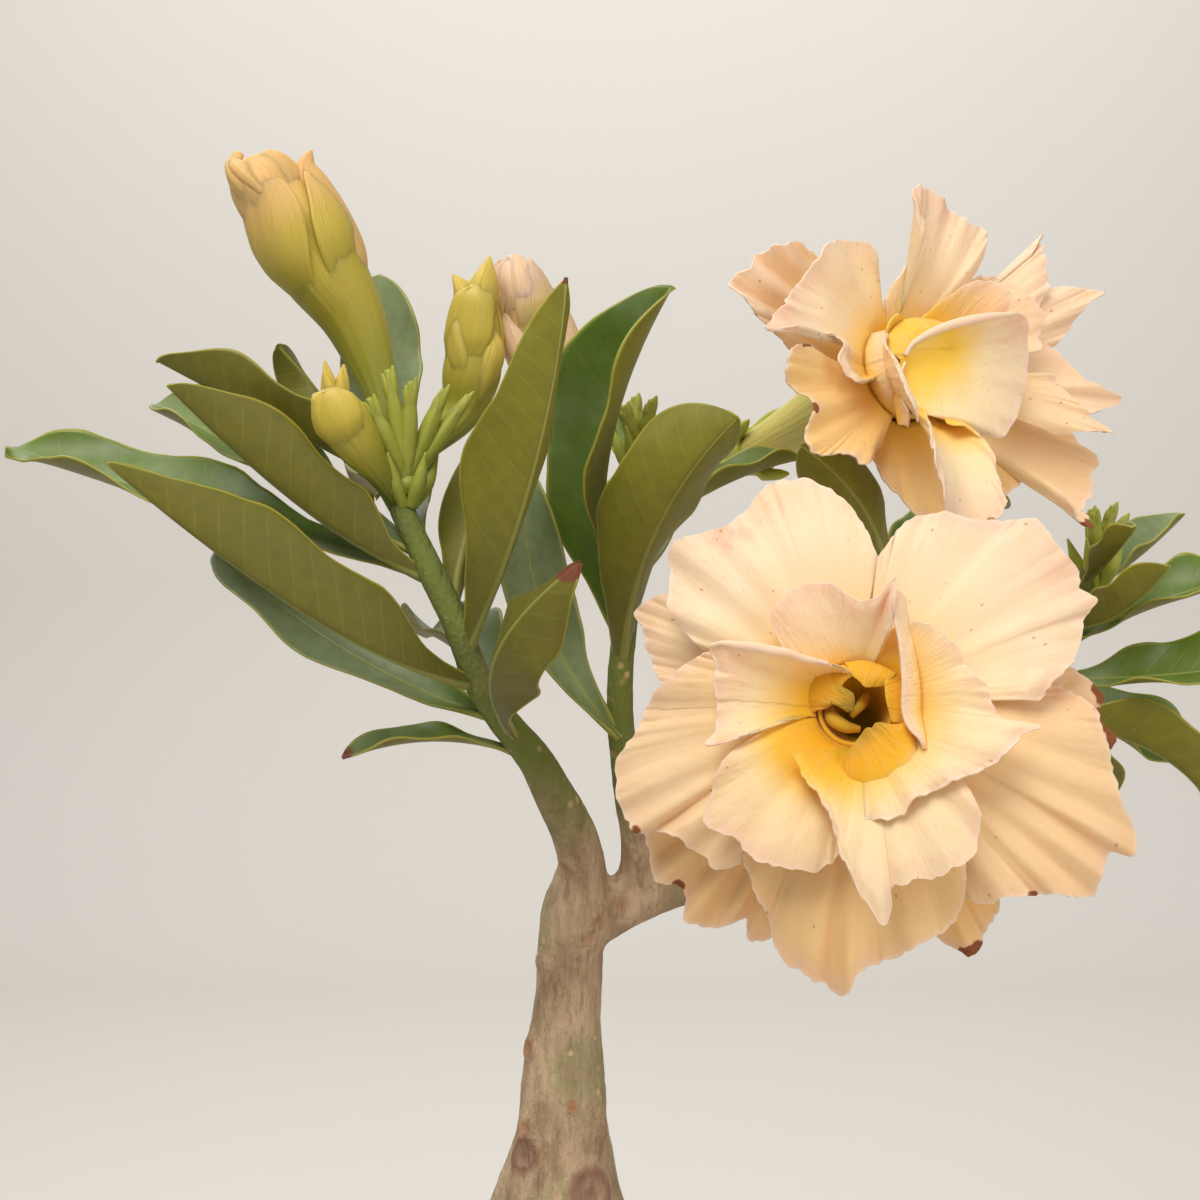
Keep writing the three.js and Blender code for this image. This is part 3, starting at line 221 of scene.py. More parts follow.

# A lobe is the two angles of its foot on the cup, how golden (or pale, below 0) it is, and its margin from
# side to side as points of [angle, radius, lift toward the front]. The gold is partly the lobe's own tone and
# partly painted shade on lobes that face down; the paleness is partly its own colour and partly painted light
# on lobes that turn from the lamps. One lobe is rolled: then the shares of the margin where the roll begins
# and ends and the roll's radius follow.
LOBES = {
    "front_outer": [
        [102, 62, 0, [[102, 25, 0], [92, 26, 0], [82, 23, 0], [72, 25, 0], [62, 26, 0]]],
        [138, 182, 0.2, [
            [138, 33, 0], [147, 38, 1], [153, 41, 0], [157, 37.5, 1], [165, 34.5, -1], [172, 31.5, 1],
            [179, 33.5, -1], [184, 32, 0],
        ]],
        [200, 250, 0.8, [
            [200, 33, 0], [208, 38, 1.5], [214, 40, -1.5], [219, 40.7, 1.5], [224, 38.5, -1.5],
            [230, 41.7, 1.5], [234, 40.5, -1.5], [238, 38.5, 1.5], [241, 36, -1], [244, 38.8, 1],
            [248, 37.5, 0], [252, 33, 0],
        ]],
        [-78, -46, 1, [
            [-76, 31, 0], [-70, 36, -1], [-66, 39.5, 0.5], [-63.5, 41, 2], [-60, 39.3, 0], [-55, 37.5, 1.5],
            [-48, 33, 0],
        ]],
        [20, -18, 0.6, [
            [20, 31, 0], [12, 36, 0], [6, 38.5, 1], [2, 37.8, 0], [-3, 40.2, 1], [-8, 39.7, -1],
            [-16, 35, 0],
        ]],
    ],
    "front_second": [
        [158, 86, 0, [
            [161, 23, -1], [156, 29, -0.5], [150, 34.5, 0.5], [144, 36.5, -0.5], [137, 39.8, 1],
            [131, 37.8, -0.5], [124, 36.2, 0.8], [119, 37, -0.5], [111, 39.6, 0], [104, 38.5, 0.5],
            [98, 36.5, 0], [90, 31, -0.5], [82, 24, -0.5],
        ]],
        [80, 8, 0, [
            [82, 24, 0.5], [75, 31, 1], [66, 34.3, 0.5], [58, 36, -0.5], [53, 38.2, -1.2], [49, 41.5, 1],
            [40, 41.2, 0.5], [33, 41.6, -0.5], [29.5, 40, 0.5], [26, 41.3, 2], [23, 38, 1], [15, 35, 2],
            [8, 31, 3.5], [2, 27.5, 3.5],
        ]],
        [10, -60, 0.55, [
            [12, 29, -2], [5, 34, -2], [0, 37, -1], [-6, 38.5, 0.5], [-12, 40.5, 0], [-18, 43, 0.8],
            [-22, 46.3, -0.5], [-26, 47.8, 1.5], [-28, 44.3, -1.5], [-33, 44.8, 0.5], [-37, 45.2, -1.5],
            [-41, 42.3, 1], [-45, 39, -0.5], [-51, 37, 1], [-56, 35.5, -0.5], [-61, 32, -1.5],
        ]],
        [-130, -58, 0.8, [
            [-131, 28, 0], [-123, 30.5, 0.5], [-113, 35, -0.5], [-106, 40, 0.5], [-99, 41.5, 0],
            [-95.5, 42.5, -2], [-91.5, 43.3, 1.8], [-89.5, 40.5, 1.2], [-83, 38.5, -0.5], [-76, 37.5, 0.5],
            [-67, 36, -0.5], [-60, 33, 1], [-54, 29, 1],
        ]],
        [160, 228, 0.35, [
            [158, 23, 1.5], [164, 26.5, 0.8], [174, 30.5, 1], [181, 33, -0.5], [187, 35.5, 0.5],
            [193, 38.5, -0.5], [200, 39.8, 0.8], [205, 39.5, -0.5], [209, 39, 0.5], [211, 36.5, -1.5],
            [216, 34, 1.5], [223, 33, -1], [229, 32.5, 1], [234, 30, -0.5],
        ]],
    ],
    "front_third": [
        [140, 68, -1, [
            [146, 13, -1], [134, 18.5, -0.5], [123, 19.6, 0.5], [112, 20, 0], [101, 18.7, 0], [93, 16.3, 1],
            [85, 15.5, 2], [77, 16, 3], [71.5, 19.5, 4], [68.5, 16.5, 5], [64, 12.5, 5],
        ]],
        [62, -88, 0, [
            [65, 12.5, 0], [51, 15.8, 0], [35, 17.5, 0.5], [18, 18, 0], [6, 19.8, 0.5], [-4, 21.3, 0],
            [-8, 23, 0], [-7.5, 28, 1], [-11.5, 25.5, 1.5], [-19, 24, 2.5], [-28, 22, 1.5], [-39, 19.6, 2.5],
            [-51, 18.2, 2.5], [-59, 17.5, 3.5], [-67, 18.8, 2], [-76, 19, 2.2], [-85, 18, 1], [-93, 14.5, 0],
        ]],
        [128, 194, -0.5, [
            [95, 5, 4], [112, 6, 5], [136, 8.8, 6], [149, 13.5, 6.3], [156, 18.5, 6], [160, 22.6, 5],
            [166, 21.8, 4], [175, 21.3, 2.5], [184, 20.8, 1], [193, 21.7, 1], [197.5, 23.3, 1.5],
            [199, 19, 1], [196, 14, 0.5], [190, 10.5, 0],
        ], [0.08, 0.44, 0.75]],
        [196, 262, 0.25, [
            [193, 11, -1], [200, 17, -0.5], [206, 22, 0.5], [213, 26, 0], [219.5, 29.5, 0.5],
            [226, 28, -0.5], [231, 27.6, -1], [238, 28.4, 0.5], [248, 27.4, 0], [257, 26.3, 0.5],
            [263, 24, -0.5], [267, 19, -1],
        ]],
        [-98, -40, 0.1, [
            [-139, 12.5, 4], [-125, 13.8, 4.5], [-113, 15, 5], [-103, 17.5, 5], [-97, 21.5, 4.5],
            [-92, 26, 3.8], [-87, 30.5, 3], [-82.5, 34.5, 3], [-80, 31.5, 1.5], [-79, 28.8, 0.5],
            [-74, 28.3, 1], [-67, 29, 0], [-59, 29.3, 0.8], [-50, 28.2, -0.5], [-42, 25.1, 0.3],
            [-36, 20, -1],
        ]],
    ],
    "back_outer": [
        [176, 126, 0.1, [
            [174, 25, 0], [169, 32.5, 2], [165, 36.8, 3], [160, 38.3, -1.5], [154, 36, 2], [147, 34.8, -1.5],
            [141, 32.5, 1.5], [134, 31, -0.5], [127, 25, 0],
        ]],
        [52, 22, 0, [
            [47, 25, 0], [39, 30, 0], [37, 34.5, 0.5], [39, 41.8, 1], [36, 38.3, 2], [31, 36, 3],
            [26, 34, 3], [20, 30, 3],
        ]],
        [34, 6, 0, [
            [30, 31, 0], [27, 37, -1], [24, 39.8, 1], [19.5, 44.5, 0.5], [18, 40.5, 0.5], [13, 37, -1],
            [7, 31, -1],
        ]],
        [12, -14, 0.1, [
            [13, 31, 1], [7, 34, 0.5], [1, 35.8, -0.5], [-4, 39.5, 1], [-7, 43.8, 0.5], [-10, 39.5, 1],
            [-14, 33, 0.5],
        ]],
        [-12, -46, 0.5, [
            [-13, 30, 0], [-19, 36, -1], [-25, 39.5, 0.5], [-32, 40.5, -1], [-39, 40.6, 1], [-44.5, 42, 2.5],
            [-44, 37, 3], [-41, 31, 3], [-39, 25, 1.5],
        ]],
        [-40, -62, 1, [[-38, 25, 0], [-42, 28.6, 0.5], [-49, 28.4, -0.5], [-56, 25, 0]]],
        [-62, -130, 0.9, [
            [-60, 22, 0], [-70, 24.5, 0.5], [-80, 26, 0.5], [-88, 27.2, 0], [-96, 26.5, 0.5],
            [-102, 23.8, -0.5], [-109, 22, 0.5], [-117, 19, 0], [-127, 15, 0],
        ]],
    ],
    "back_second": [
        [188, 110, -0.1, [
            [190, 9, 3], [198, 15, 4.5], [197, 20, 5], [190, 22.5, 5], [182, 21.8, 4], [172, 19, 2],
            [171.5, 23, 1], [174, 29.5, 1.5], [177, 37, 2], [170, 33, 0], [152, 28, -0.5], [141, 27.5, 0.5],
            [134, 27, 1.2], [126, 25, -0.5], [118, 23.8, 0.5], [114.5, 21, 1.5], [114, 17, 0],
            [110, 12, -0.5],
        ]],
        [110, 60, -0.4, [
            [110, 12.4, 0], [98, 16, 0.5], [92, 18.2, 0], [89, 20.5, 0.5], [85.5, 22, 2.5], [90, 24.5, 4],
            [92.5, 28, 4], [89.5, 30.4, 3], [84, 31, 1.5], [78, 30.4, 0.5], [71, 29.8, -0.5],
            [63, 29.3, 0.5], [56, 29.6, -0.5], [53, 27, 1], [50.5, 25.6, -0.5], [48.5, 21, 0],
        ]],
        [4, -26, 0.3, [
            [-4, 26, 0], [-13, 30.5, 0.5], [-18, 34.5, 0], [-21, 37.3, 0.5], [-23, 33.5, 0.5], [-27, 28, 0],
        ]],
        [192, 240, 1.1, [
            [196, 11.5, -1], [184, 18, -2], [179, 23, -1.5], [180, 29, 0], [183, 33, 1], [188, 33.6, 0.5],
            [194, 31.8, -0.5], [200, 30.2, 0.5], [207, 34.3, -0.5], [211, 34.8, 0.5], [219, 29, -0.5],
            [226, 27.2, 0.8], [231, 22.5, -0.5], [236, 13.5, 0],
        ]],
        [58, 4, 0, [[50, 18, 0], [42, 23, 0], [30, 26, 0.5], [18, 27, 0], [6, 25, 0]]],
    ],
    "back_third": [
        [148, 240, -0.9, [
            [150, 9, 1], [168, 10.5, 2], [186, 12.5, 4], [200, 15.5, 6], [211, 17.8, 6.5], [220, 19.2, 6],
            [227, 19.4, 4.5], [234, 16.5, 2], [240, 12, 0],
        ]],
        [96, 20, 0.1, [
            [90, 7.5, 0], [76, 9, 0], [67, 12, 0], [56, 16, 0.5], [45, 17.7, 0], [34, 17.5, 1],
            [26, 15, 0.5], [20, 12, 0],
        ]],
        [-128, -84, 0, [
            [-123, 14.5, 3.5], [-125, 20, 4.5], [-121, 25, 4], [-115, 28.3, 3], [-110, 32.3, 1.2],
            [-99, 31, 0], [-90, 31.5, 0.5], [-86.5, 29.5, 1], [-84, 25, 2.2], [-82, 20.5, 3.2],
            [-80, 17.5, 3.8], [-88, 13.8, 4.2], [-104, 13.2, 4],
        ]],
        [150, 100, 0, [[152, 8, 0], [136, 9.5, 0.5], [118, 9.5, 0.5], [102, 8, 0]]],
    ],
}

# A flap is a fold that starts in the throat: its foot and its margin as points of [angle, radius, height],
# how far it bulges, how much paler its margin is, and how much paler all of it is, as millimetres that it
# seems further out. If its first side is rolled, how far that side bows in x and y and the roll's radius
# follow.
FLAPS = {
    "front_centre": [
        [
            [[-100, 12, 6.5], [-80, 13, 7.5], [-60, 13.5, 8], [-40, 12, 8], [-24, 9, 7.5]],
            [
                [-96, 11.5, 7.8], [-99, 9, 8.5], [-94, 6.8, 8.8], [-80, 5, 9], [-66, 4.2, 9.2],
                [-56, 4.6, 9], [-45, 4.4, 9.2], [-31, 6.6, 8.8], [-22, 8.2, 8.2],
            ],
            0.8, 0, -3.3,
        ],
        [
            [[188, 7, 4.5], [165, 8, 5], [140, 7.6, 5.5], [118, 6.8, 5.5], [100, 6.4, 5.5]],
            [
                [182, 4.4, 6], [172, 3.2, 6.8], [186, 1.6, 7], [232, 1.4, 7.2], [100, 0.6, 7.4],
                [106, 2, 7.2], [144, 3, 7], [115, 4, 7], [97, 4.6, 6.8],
            ],
            0.5, 0, 0,
        ],
        [
            [
                [66, 18, 9.5], [60, 15.5, 9], [48, 12.8, 8.5], [20, 10.2, 8], [-10, 10, 7.5], [-24, 11.4, 8],
                [-34, 12.6, 9],
            ],
            [
                [70, 18.3, 12], [67, 14.7, 12], [52, 10.8, 12], [23, 7.7, 11.6], [-11, 7.2, 11],
                [-26, 8.8, 10.8], [-31, 11.8, 10.4],
            ],
            0.5, 12, 0,
        ],
        [
            [[44, 8, 6], [10, 7.8, 6], [-22, 8.2, 6]],
            [[38, 5.6, 7.4], [12, 4.7, 7.8], [-10, 5.1, 7.8], [-26, 6.2, 7.4]],
            0.4, 2, 0,
        ],
        [
            [[104, 6.8, 5.8], [82, 7, 6], [60, 7.2, 6.3], [38, 7.8, 6.6]],
            [[97, 4.7, 6.8], [78, 3.6, 7.4], [62, 3.1, 7.6], [47, 4, 7.5], [34, 5.6, 7.4]],
            0.4, 3, 0,
        ],
    ],
    "back_third": [
        [
            [[-172, 9, 13.5], [-166, 9.4, 12.5], [-155, 10, 11], [-142, 11.5, 10.5], [-131, 14, 10]],
            [
                [25, 13, 18.5], [22, 15.6, 18.2], [16, 17.2, 16.6], [4, 17.5, 15], [-12, 17.1, 14.2],
                [-30, 17, 13.8], [-47, 17.2, 13.6], [-60, 17.4, 13.8], [-71, 15, 12.6], [-84, 12.5, 11.5],
            ],
            2.2, 0, 12, [-1, 1.8], 0.8,
        ],
    ],
    "back_centre": [
        [
            [[-150, 6, 5], [-145, 8, 6.5], [-137, 10.5, 7.5], [-130, 12.5, 8], [-125, 14.5, 8.5]],
            [[-176, 7.6, 12.2], [-159, 10.6, 13.4], [-144, 13, 13], [-132, 15.5, 13.4], [-126, 16.6, 12]],
            0.5, 8, 0,
        ],
        [
            [[140, 9.4, 3.5], [165, 9.8, 4], [195, 10, 4], [225, 10, 4], [250, 9.4, 3.5]],
            [[138, 8.4, 7], [165, 8.6, 9], [195, 9.2, 10], [222, 9.8, 9.6], [252, 9, 7]],
            0.4, 6, 10,
        ],
        [
            [[172, 8.4, 8], [140, 8, 7.2], [105, 8, 7], [75, 8.4, 7], [50, 9.2, 8]],
            [[-168, 7.2, 10.2], [172, 4.4, 10.4], [96, 3, 10.2], [60, 3.8, 10.2], [33, 7.4, 10.4]],
            0.6, 3, 3,
        ],
    ],
}

# Paths of [x, y, height, radius]
STAMENS = {
    "front_centre": [
        [[-4.3, 0.2, 2.5, 0.8], [-3.6, -1.6, 4, 1.1], [-1.6, -2.9, 4.2, 1], [0.6, -3.2, 3.4, 0.5]],
        [[1.5, 2.4, 0, 0.7], [0.6, 0.6, 2.4, 0.8], [-0.8, -1.2, 2.8, 0.4]],
    ],
}

# Dry, brown places and pink ones on the petals: [whorl, angle, radius, size, strength]
DRY_SPOTS = {
    "front": [
        ["outer", -1, 39, 4.5, 1], ["outer", 7, 38.5, 2.5, 0.9], ["outer", -63.5, 40.8, 3.2, 1],
        ["outer", 223, 38.8, 1.6, 0.8], ["outer", 172, 32, 1.2, 0.9], ["second", -46, 38.8, 1.3, 0.7],
        ["second", 209, 39, 1.3, 0.6], ["second", -36, 43, 1.2, 0.6],
    ],
    "back": [
        ["outer", -44.5, 41.8, 2.6, 0.8], ["second", 180, 24, 2.4, 1], ["second", 180.5, 28.5, 2.2, 0.8],
        ["second", 201, 30, 1.2, 0.9], ["third", -90, 31.4, 1.6, 0.5],
    ],
}
PINK_SPOTS = {
    "front": [
        ["second", 125, 35.5, 5, 1], ["third", 72, 18, 6, 0.6], ["third", 160, 21.5, 7, 0.35],
        ["second", 36, 39.5, 6, 0.35], ["third", 198, 22, 5, 0.4], ["second", 4, 29, 8, 0.35],
    ],
    "back": [["second", 175, 34, 8, 0.6], ["third", 24, 14, 7, 0.4], ["second", 80, 30, 6, 0.3]],
}
LIFT_SHAPE = 2.2
LIP_RISE = 1.2
LIP_FALL = 0.35
DRY_WIDTH = 2.4
PALE_REACH = 12
ROLL_POINTS = 14
ROLL_TAPER = 0.08
ROLL_SHADE = {"reach": 24.0, "rim": 0.5}
STAMEN_SHADE = {"reach": 4.0, "rim": 12.0, "deep": 0.35}
GOLD_LEAN = 0.35
SHADE_STEP = 0.37
SEED_STEP = 100
# The teeth of a margin and the frills behind it: [length, depth] and [length, depth, how near the margin]
TEETH = [[0.9, 0.3], [2.4, 0.35]]
FRILLS = [[3.0, 0.5, 5.0], [7.5, 0.9, 2.6], [16.0, 0.9, 1.5]]
PLEAT = 0.5
PLEAT_STEP = 0.95
PLEAT_SHAPE = 5.0
LOBE_SINK = 0.5
# Lengths of a mesh cell from foot to margin and along the margin
LOBE_CELL = [0.8, 0.42]
FLAP_CELL = [0.7, 0.35]
PETAL_FOOT = 0.7
PETAL_MARGIN = 0.35
FLAP_MARGIN = 0.4
TUBE_LENGTH = 48
CUP_WALL = 0.8
CUP_MOUTH = 9.4
CUP_DEPTH = 15
CUP_FLOOR = 0.42
CUP_STEP = 2.5
CUP_SEED = 61
TUBE = [[2.6, -48], [3.9, -44], [5.2, -30], [7.0, -18], [8.7, -6]]

STALK_RADIUS = 2
STALK_BEND = 8
STALK_WAIST = [0.6, 1.8]
CALYX_FOOT = [1.5, 3.6]
CALYX_RADIUS = 4.9
CALYX_DEPTH = 3.5
CALYX_VOXEL = 0.45
SEPALS = 5
SEPAL = [[-0.4, -1.5, 1.3], [1, 3.25, 1.1], [1.8, 6.5, 0.35]]

# ---------------------------------------------------------------- buds

# Paths and folds are points of [x, y, z, radius]. petals: where each begins and ends along the path, its
# angle, its half width in degrees and how far it stands off. swirl: how many degrees the petals wind round
# the head. ripe: the colour of the head, from 0, green, through 1, cream, to 2, pink.
BUDS = {
    "opening_left": {
        "path": [
            [-31, -18, 307, 1.6], [-32.5, -14.5, 318, 2.1], [-35, -12, 327, 4], [-38.5, -12, 336, 5.7],
            [-43.5, -13.5, 344, 7.4], [-47.8, -15.2, 351, 7.6], [-51, -16.5, 356.5, 5.4], [-53, -17, 360, 3],
        ],
        "petals": [
            [0.5, 0.93, 20, 44, 1.4], [0.52, 0.9, 120, 40, 0.9], [0.5, 0.92, 205, 42, 1.4],
            [0.53, 0.9, 290, 38, 0.9],
        ],
        "folds": [
            [
                [-49, -16, 350, 5], [-52.3, -17, 356, 6], [-54.2, -17.3, 359.4, 5.6],
                [-55.4, -17.4, 362.2, 3.2],
            ],
            [
                [-50, -20.4, 352, 0.8], [-53, -21.8, 356, 1.5], [-56.4, -21.2, 359.4, 1.6],
                [-58.4, -19, 361.4, 1],
            ],
            [
                [-53.5, -20, 353.5, 0.8], [-56.4, -20.8, 356.8, 1.6], [-58.2, -19.4, 360, 1.5],
                [-57.6, -17.5, 363, 1],
            ],
            [[-48, -17, 354, 2.6], [-50.5, -17.8, 359.5, 3.4], [-53.6, -17.8, 362.4, 2.2]],
            [
                [-37.8, -12.8, 340, 2], [-38.8, -13.5, 346, 3.2], [-41.8, -15, 352, 3.5],
                [-45, -16, 357.8, 3], [-46, -16.3, 361.3, 1.8], [-45.1, -16.6, 364, 0.3],
            ],
            [[-40, -16.5, 342, 1.4], [-41.6, -18, 347, 2.3], [-44.5, -19, 352.5, 2.1], [-47, -19, 357, 1]],
        ],
        "swirl": 60,
        "ripe": 1.3,
    },
    "green_left": {
        "path": [
            [-30, -19, 304.5, 1.4], [-25.5, -12.5, 312, 1.8], [-19.7, -8.3, 319, 3.5],
            [-17.8, -8, 325.5, 5.1], [-17.3, -8, 331, 4.7], [-17.2, -8.5, 336, 3.9], [-17, -9, 340, 2.9],
            [-17, -9.3, 342, 1.2],
        ],
        "petals": [[0.45, 0.97, 80, 55, 0.5], [0.45, 0.96, 260, 55, 0.7]],
        "folds": [
            [[-18, -9, 336, 2.8], [-19, -9.3, 340, 2.1], [-21, -9.6, 343.4, 0.2]],
            [[-16.6, -9, 336, 3.2], [-15.6, -9.4, 341.4, 2.7], [-14.4, -9.8, 346.6, 0.2]],
            [
                [-17.4, -9.8, 319, 0.6], [-15.4, -10.6, 325, 2.1], [-14, -10.4, 330, 2.1],
                [-14.6, -9.6, 334, 0.8],
            ],
            [
                [-18.2, -9.6, 321, 0.6], [-19.2, -11.2, 327, 1.8], [-19.8, -11, 333, 1.9],
                [-19.2, -10.4, 338, 0.8],
            ],
        ],
        "swirl": 40,
        "ripe": 0.3,
    },
    "pink_middle": {
        "path": [
            [13, -9, 299, 1.5], [6, -3, 304, 1.8], [1, 3, 311, 3], [-1.5, 3.5, 320, 4.2],
            [-4.5, 2.5, 328, 5.6], [-7.8, 0.8, 335, 6.1], [-9.5, -0.5, 341, 5], [-10, -1.5, 345, 3.3],
            [-10, -2, 347.4, 1],
        ],
        "petals": [[0.6, 1, 30, 48, 0.8], [0.6, 0.99, 150, 48, 0.6], [0.6, 0.98, 270, 48, 0.8]],
        "folds": [
            [
                [0.8, 1.5, 319, 1.8], [0, 1.5, 326, 2.9], [-1.6, 1, 332.5, 3.1], [-3.8, 0, 339, 2.3],
                [-4.4, -0.8, 342.6, 0.5],
            ],
            [[-4.6, 0, 320, 0.8], [-7.6, -2.4, 326, 2.4], [-10, -3.4, 332, 2.8], [-12.4, -3.4, 338, 0.8]],
            [
                [-8.6, -0.6, 337, 4.6], [-9.8, -1.6, 342, 5], [-10.3, -2.2, 345.6, 3.6],
                [-10.4, -2.4, 347.8, 1],
            ],
        ],
        "swirl": 60,
        "ripe": 2,
    },
    "small_left": {
        "path": [
            [-30, -22, 303, 1.3], [-32.5, -27, 307.5, 2.2], [-35.4, -30.8, 312, 3.8], [-38, -33, 316.3, 4.2],
            [-39.4, -33.8, 319.5, 3], [-39.7, -34, 321.4, 1.4],
        ],
        "petals": [[0.45, 0.97, 90, 60, 0.5]],
        "folds": [
            [[-39.4, -34, 318.5, 2], [-40.3, -34.2, 322.6, 1.1], [-40.8, -34.4, 325.8, 0.2]],
            [[-38.4, -33.8, 318.5, 2], [-38, -34, 322.4, 1.1], [-37.6, -34.2, 325.2, 0.2]],
            [[-39.5, -34.5, 315.5, 1.6], [-41.4, -34.4, 318.6, 1.9], [-42, -34.2, 320.4, 0.9]],
        ],
        "swirl": 30,
        "ripe": 0.5,
    },
}
BUD_PETAL_FOOT = 0.75
BUD_PETAL_LEAST = 4
BUD_PETAL_LIFT = 0.6
BUD_PETAL_SINK = 1.6
BUD_PETAL_ROOT = 0.3
BUD_PETAL_THICK = 0.8
BUD_PETAL_THINNING = 0.35
FOLD_CREASE = 0.22

# Clusters of small buds: where the twig ends and where each bud's tip is
CLUSTERS = {
    "left": {
        "at": [-28, -22.5, 306],
        "tips": [[-27, -27, 323], [-31, -27, 325], [-21.5, -24, 322], [-17.5, -22, 321], [-34, -29, 320]],
    },
    "middle": {"at": [12.5, -7.5, 311.5], "tips": [[9, -12, 320], [14, -13, 321], [11, -7, 322]]},
    "right": {
        "at": [98, 17.5, 292.5],
        "tips": [[96, 11, 302], [100, 13, 303.5], [103, 17, 301.5], [97, 19, 303]],
    },
}
CLUSTER_HEART = 2
SMALL_BUD_RADII = [1, 1.5, 0.4]
SMALL_BUD_WIDEST = 0.6
HORN_ROOT = 0.72
HORN_SPREAD = 0.9
HORN_STEP = 0.7
BRACTS = 5

# ---------------------------------------------------------------- camera, backdrop and lights

CAMERA_AT = [5, -450, 286]
CAMERA_LENS = 75
CAMERA_SENSOR = 36
BACKDROP_NEAR = 1400
BACKDROP_BEND = 300
BACKDROP_HALF = 4000
PLANT_HEART = [10, -10, 280]
# name: [place, target, size, watts, colour]
LIGHTS = {
    "key": [[-180, -600, 960], PLANT_HEART, 560, 6.9, (1.0, 0.96, 0.89)],
    "fill": [[700, -600, 420], PLANT_HEART, 900, 3.3, (1.0, 0.96, 0.93)],
    "back": [[-300, 200, 900], PLANT_HEART, 600, 2.8, (1.0, 0.99, 0.98)],
    "paper": [[0, 700, 1500], [0, 1700, 900], 1200, 17, (1.0, 0.98, 0.95)],
}
WORLD_COLOUR = (1.0, 0.97, 0.94, 1.0)
WORLD_STRENGTH = 0.22


# ---------------------------------------------------------------- meshes

class Shape:
    """Points in millimetres, faces and named values at the points, gathered for one mesh."""

    def __init__(self):
        self.points = []
        self.faces = []
        self.values = {}
        self.count = 0

    def add(self, points, faces, **values):
        """faces holds arrays of point indices, one row to a face."""
        points = np.asarray(points, float).reshape(-1, 3)
        for name in values:
            self.values.setdefault(name, []).append((self.count, np.ravel(values[name])))
        self.faces += [np.asarray(rows, int) + self.count for rows in faces]
        self.points.append(points)
        self.count += len(points)

    def mesh(self, name):
        mesh = bpy.data.meshes.new(name)
        points = np.concatenate(self.points) * MM
        corners = np.concatenate([rows.ravel() for rows in self.faces])
        sizes = np.concatenate([np.full(len(rows), rows.shape[1]) for rows in self.faces])
        mesh.vertices.add(len(points))
        mesh.vertices.foreach_set("co", points.ravel().astype(np.float32))
        mesh.loops.add(len(corners))
        mesh.loops.foreach_set("vertex_index", corners.astype(np.int32))
        mesh.polygons.add(len(sizes))
        mesh.polygons.foreach_set("loop_start", (np.cumsum(sizes) - sizes).astype(np.int32))
        mesh.update(calc_edges=True)
        mesh.validate()
        for key, parts in self.values.items():
            whole = np.zeros(len(points), np.float32)
            for start, part in parts:
                whole[start:start + len(part)] = part
            paint(mesh, key, whole)
        mesh.shade_smooth()
        return mesh


def link(name, data):
    thing = bpy.data.objects.new(name, data)
    bpy.context.scene.collection.objects.link(thing)
    return thing


def piece(name, mesh, look, slot, *nodes):
    """A finished piece of the plant or the pot, in the place of CAD nodes. mesh may still be a Shape."""
    if isinstance(mesh, Shape):
        mesh = mesh.mesh(name)
    thing = link(name, mesh)
    mesh.materials.append(look)
    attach(thing, "root")
    if nodes:
        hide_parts(*nodes)
    return thing


def unit(vectors):
    return vectors / np.maximum(np.linalg.norm(vectors, axis=-1, keepdims=True), 1e-9)


def smoothstep(low, high, values):
    x = np.clip((values - low) / (high - low), 0, 1)
    return x * x * (3 - 2 * x)


def wander(places, seed):
    """Smooth seeded noise from -1 to 1, with about one bump for each step of 1 in places."""
    places = np.asarray(places, float)
    base = np.floor(places).astype(int)
    low = base.min()
    knots = np.random.default_rng(seed).uniform(-1, 1, base.max() - low + 2)
    share = places - base
    share = share * share * (3 - 2 * share)
    return knots[base - low] * (1 - share) + knots[base - low + 1] * share


def grid_faces(rows, cols):
    """Four point indices for each cell of a grid of points."""
    index = np.arange((rows + 1) * (cols + 1)).reshape(rows + 1, cols + 1)
    cells = [index[:-1, :-1], index[:-1, 1:], index[1:, 1:], index[1:, :-1]]
    return np.stack([cell.ravel() for cell in cells], axis=1)


def ring_faces(rings, sides):
    """Faces of a skin over rings of points, closed by the two end points that come after them."""
    index = np.arange(rings * sides).reshape(rings, sides)
    after = np.roll(index, -1, axis=1)
    cells = [index[:-1], after[:-1], after[1:], index[1:]]
    feet = np.stack([np.full(sides, index.size), after[0], index[0]], axis=1)
    tips = np.stack([np.full(sides, index.size + 1), index[-1], after[-1]], axis=1)
    return [np.stack([cell.ravel() for cell in cells], axis=1), feet, tips]


def sheet(shape, rows, cols, point_at, thickness_at, values_at):
    """A thin closed sheet round the surface point_at(t, u), with t from 0 to 1 and u from -1 to 1."""
    shares = np.sin(np.linspace(0, 1, rows + 1) * math.pi / 2)
    t, u = np.meshgrid(shares, np.linspace(-1, 1, cols + 1), indexing="ij")
    middle = point_at(t, u)
    normal = unit(np.cross(np.gradient(middle, axis=1), np.gradient(middle, axis=0)))
    half = normal * (thickness_at(t, u) / 2)[..., None]
    below = (rows + 1) * (cols + 1)
    top = grid_faces(rows, cols)
    index = np.arange(below).reshape(rows + 1, cols + 1)
    rim = np.concatenate([index[0, :-1], index[:-1, -1], index[-1, :0:-1], index[:0:-1, 0]])
    after = np.roll(rim, -1)
    band = np.stack([after, rim, below + rim, below + after], axis=1)
    both = {key: np.tile(value.ravel(), 2) for key, value in values_at(t, u).items()}
    both["side"] = np.repeat([1.0, 0.0], below)
    points = np.concatenate([(middle + half).reshape(-1, 3), (middle - half).reshape(-1, 3)])
    shape.add(points, [top, below + top[:, ::-1], band], **both)


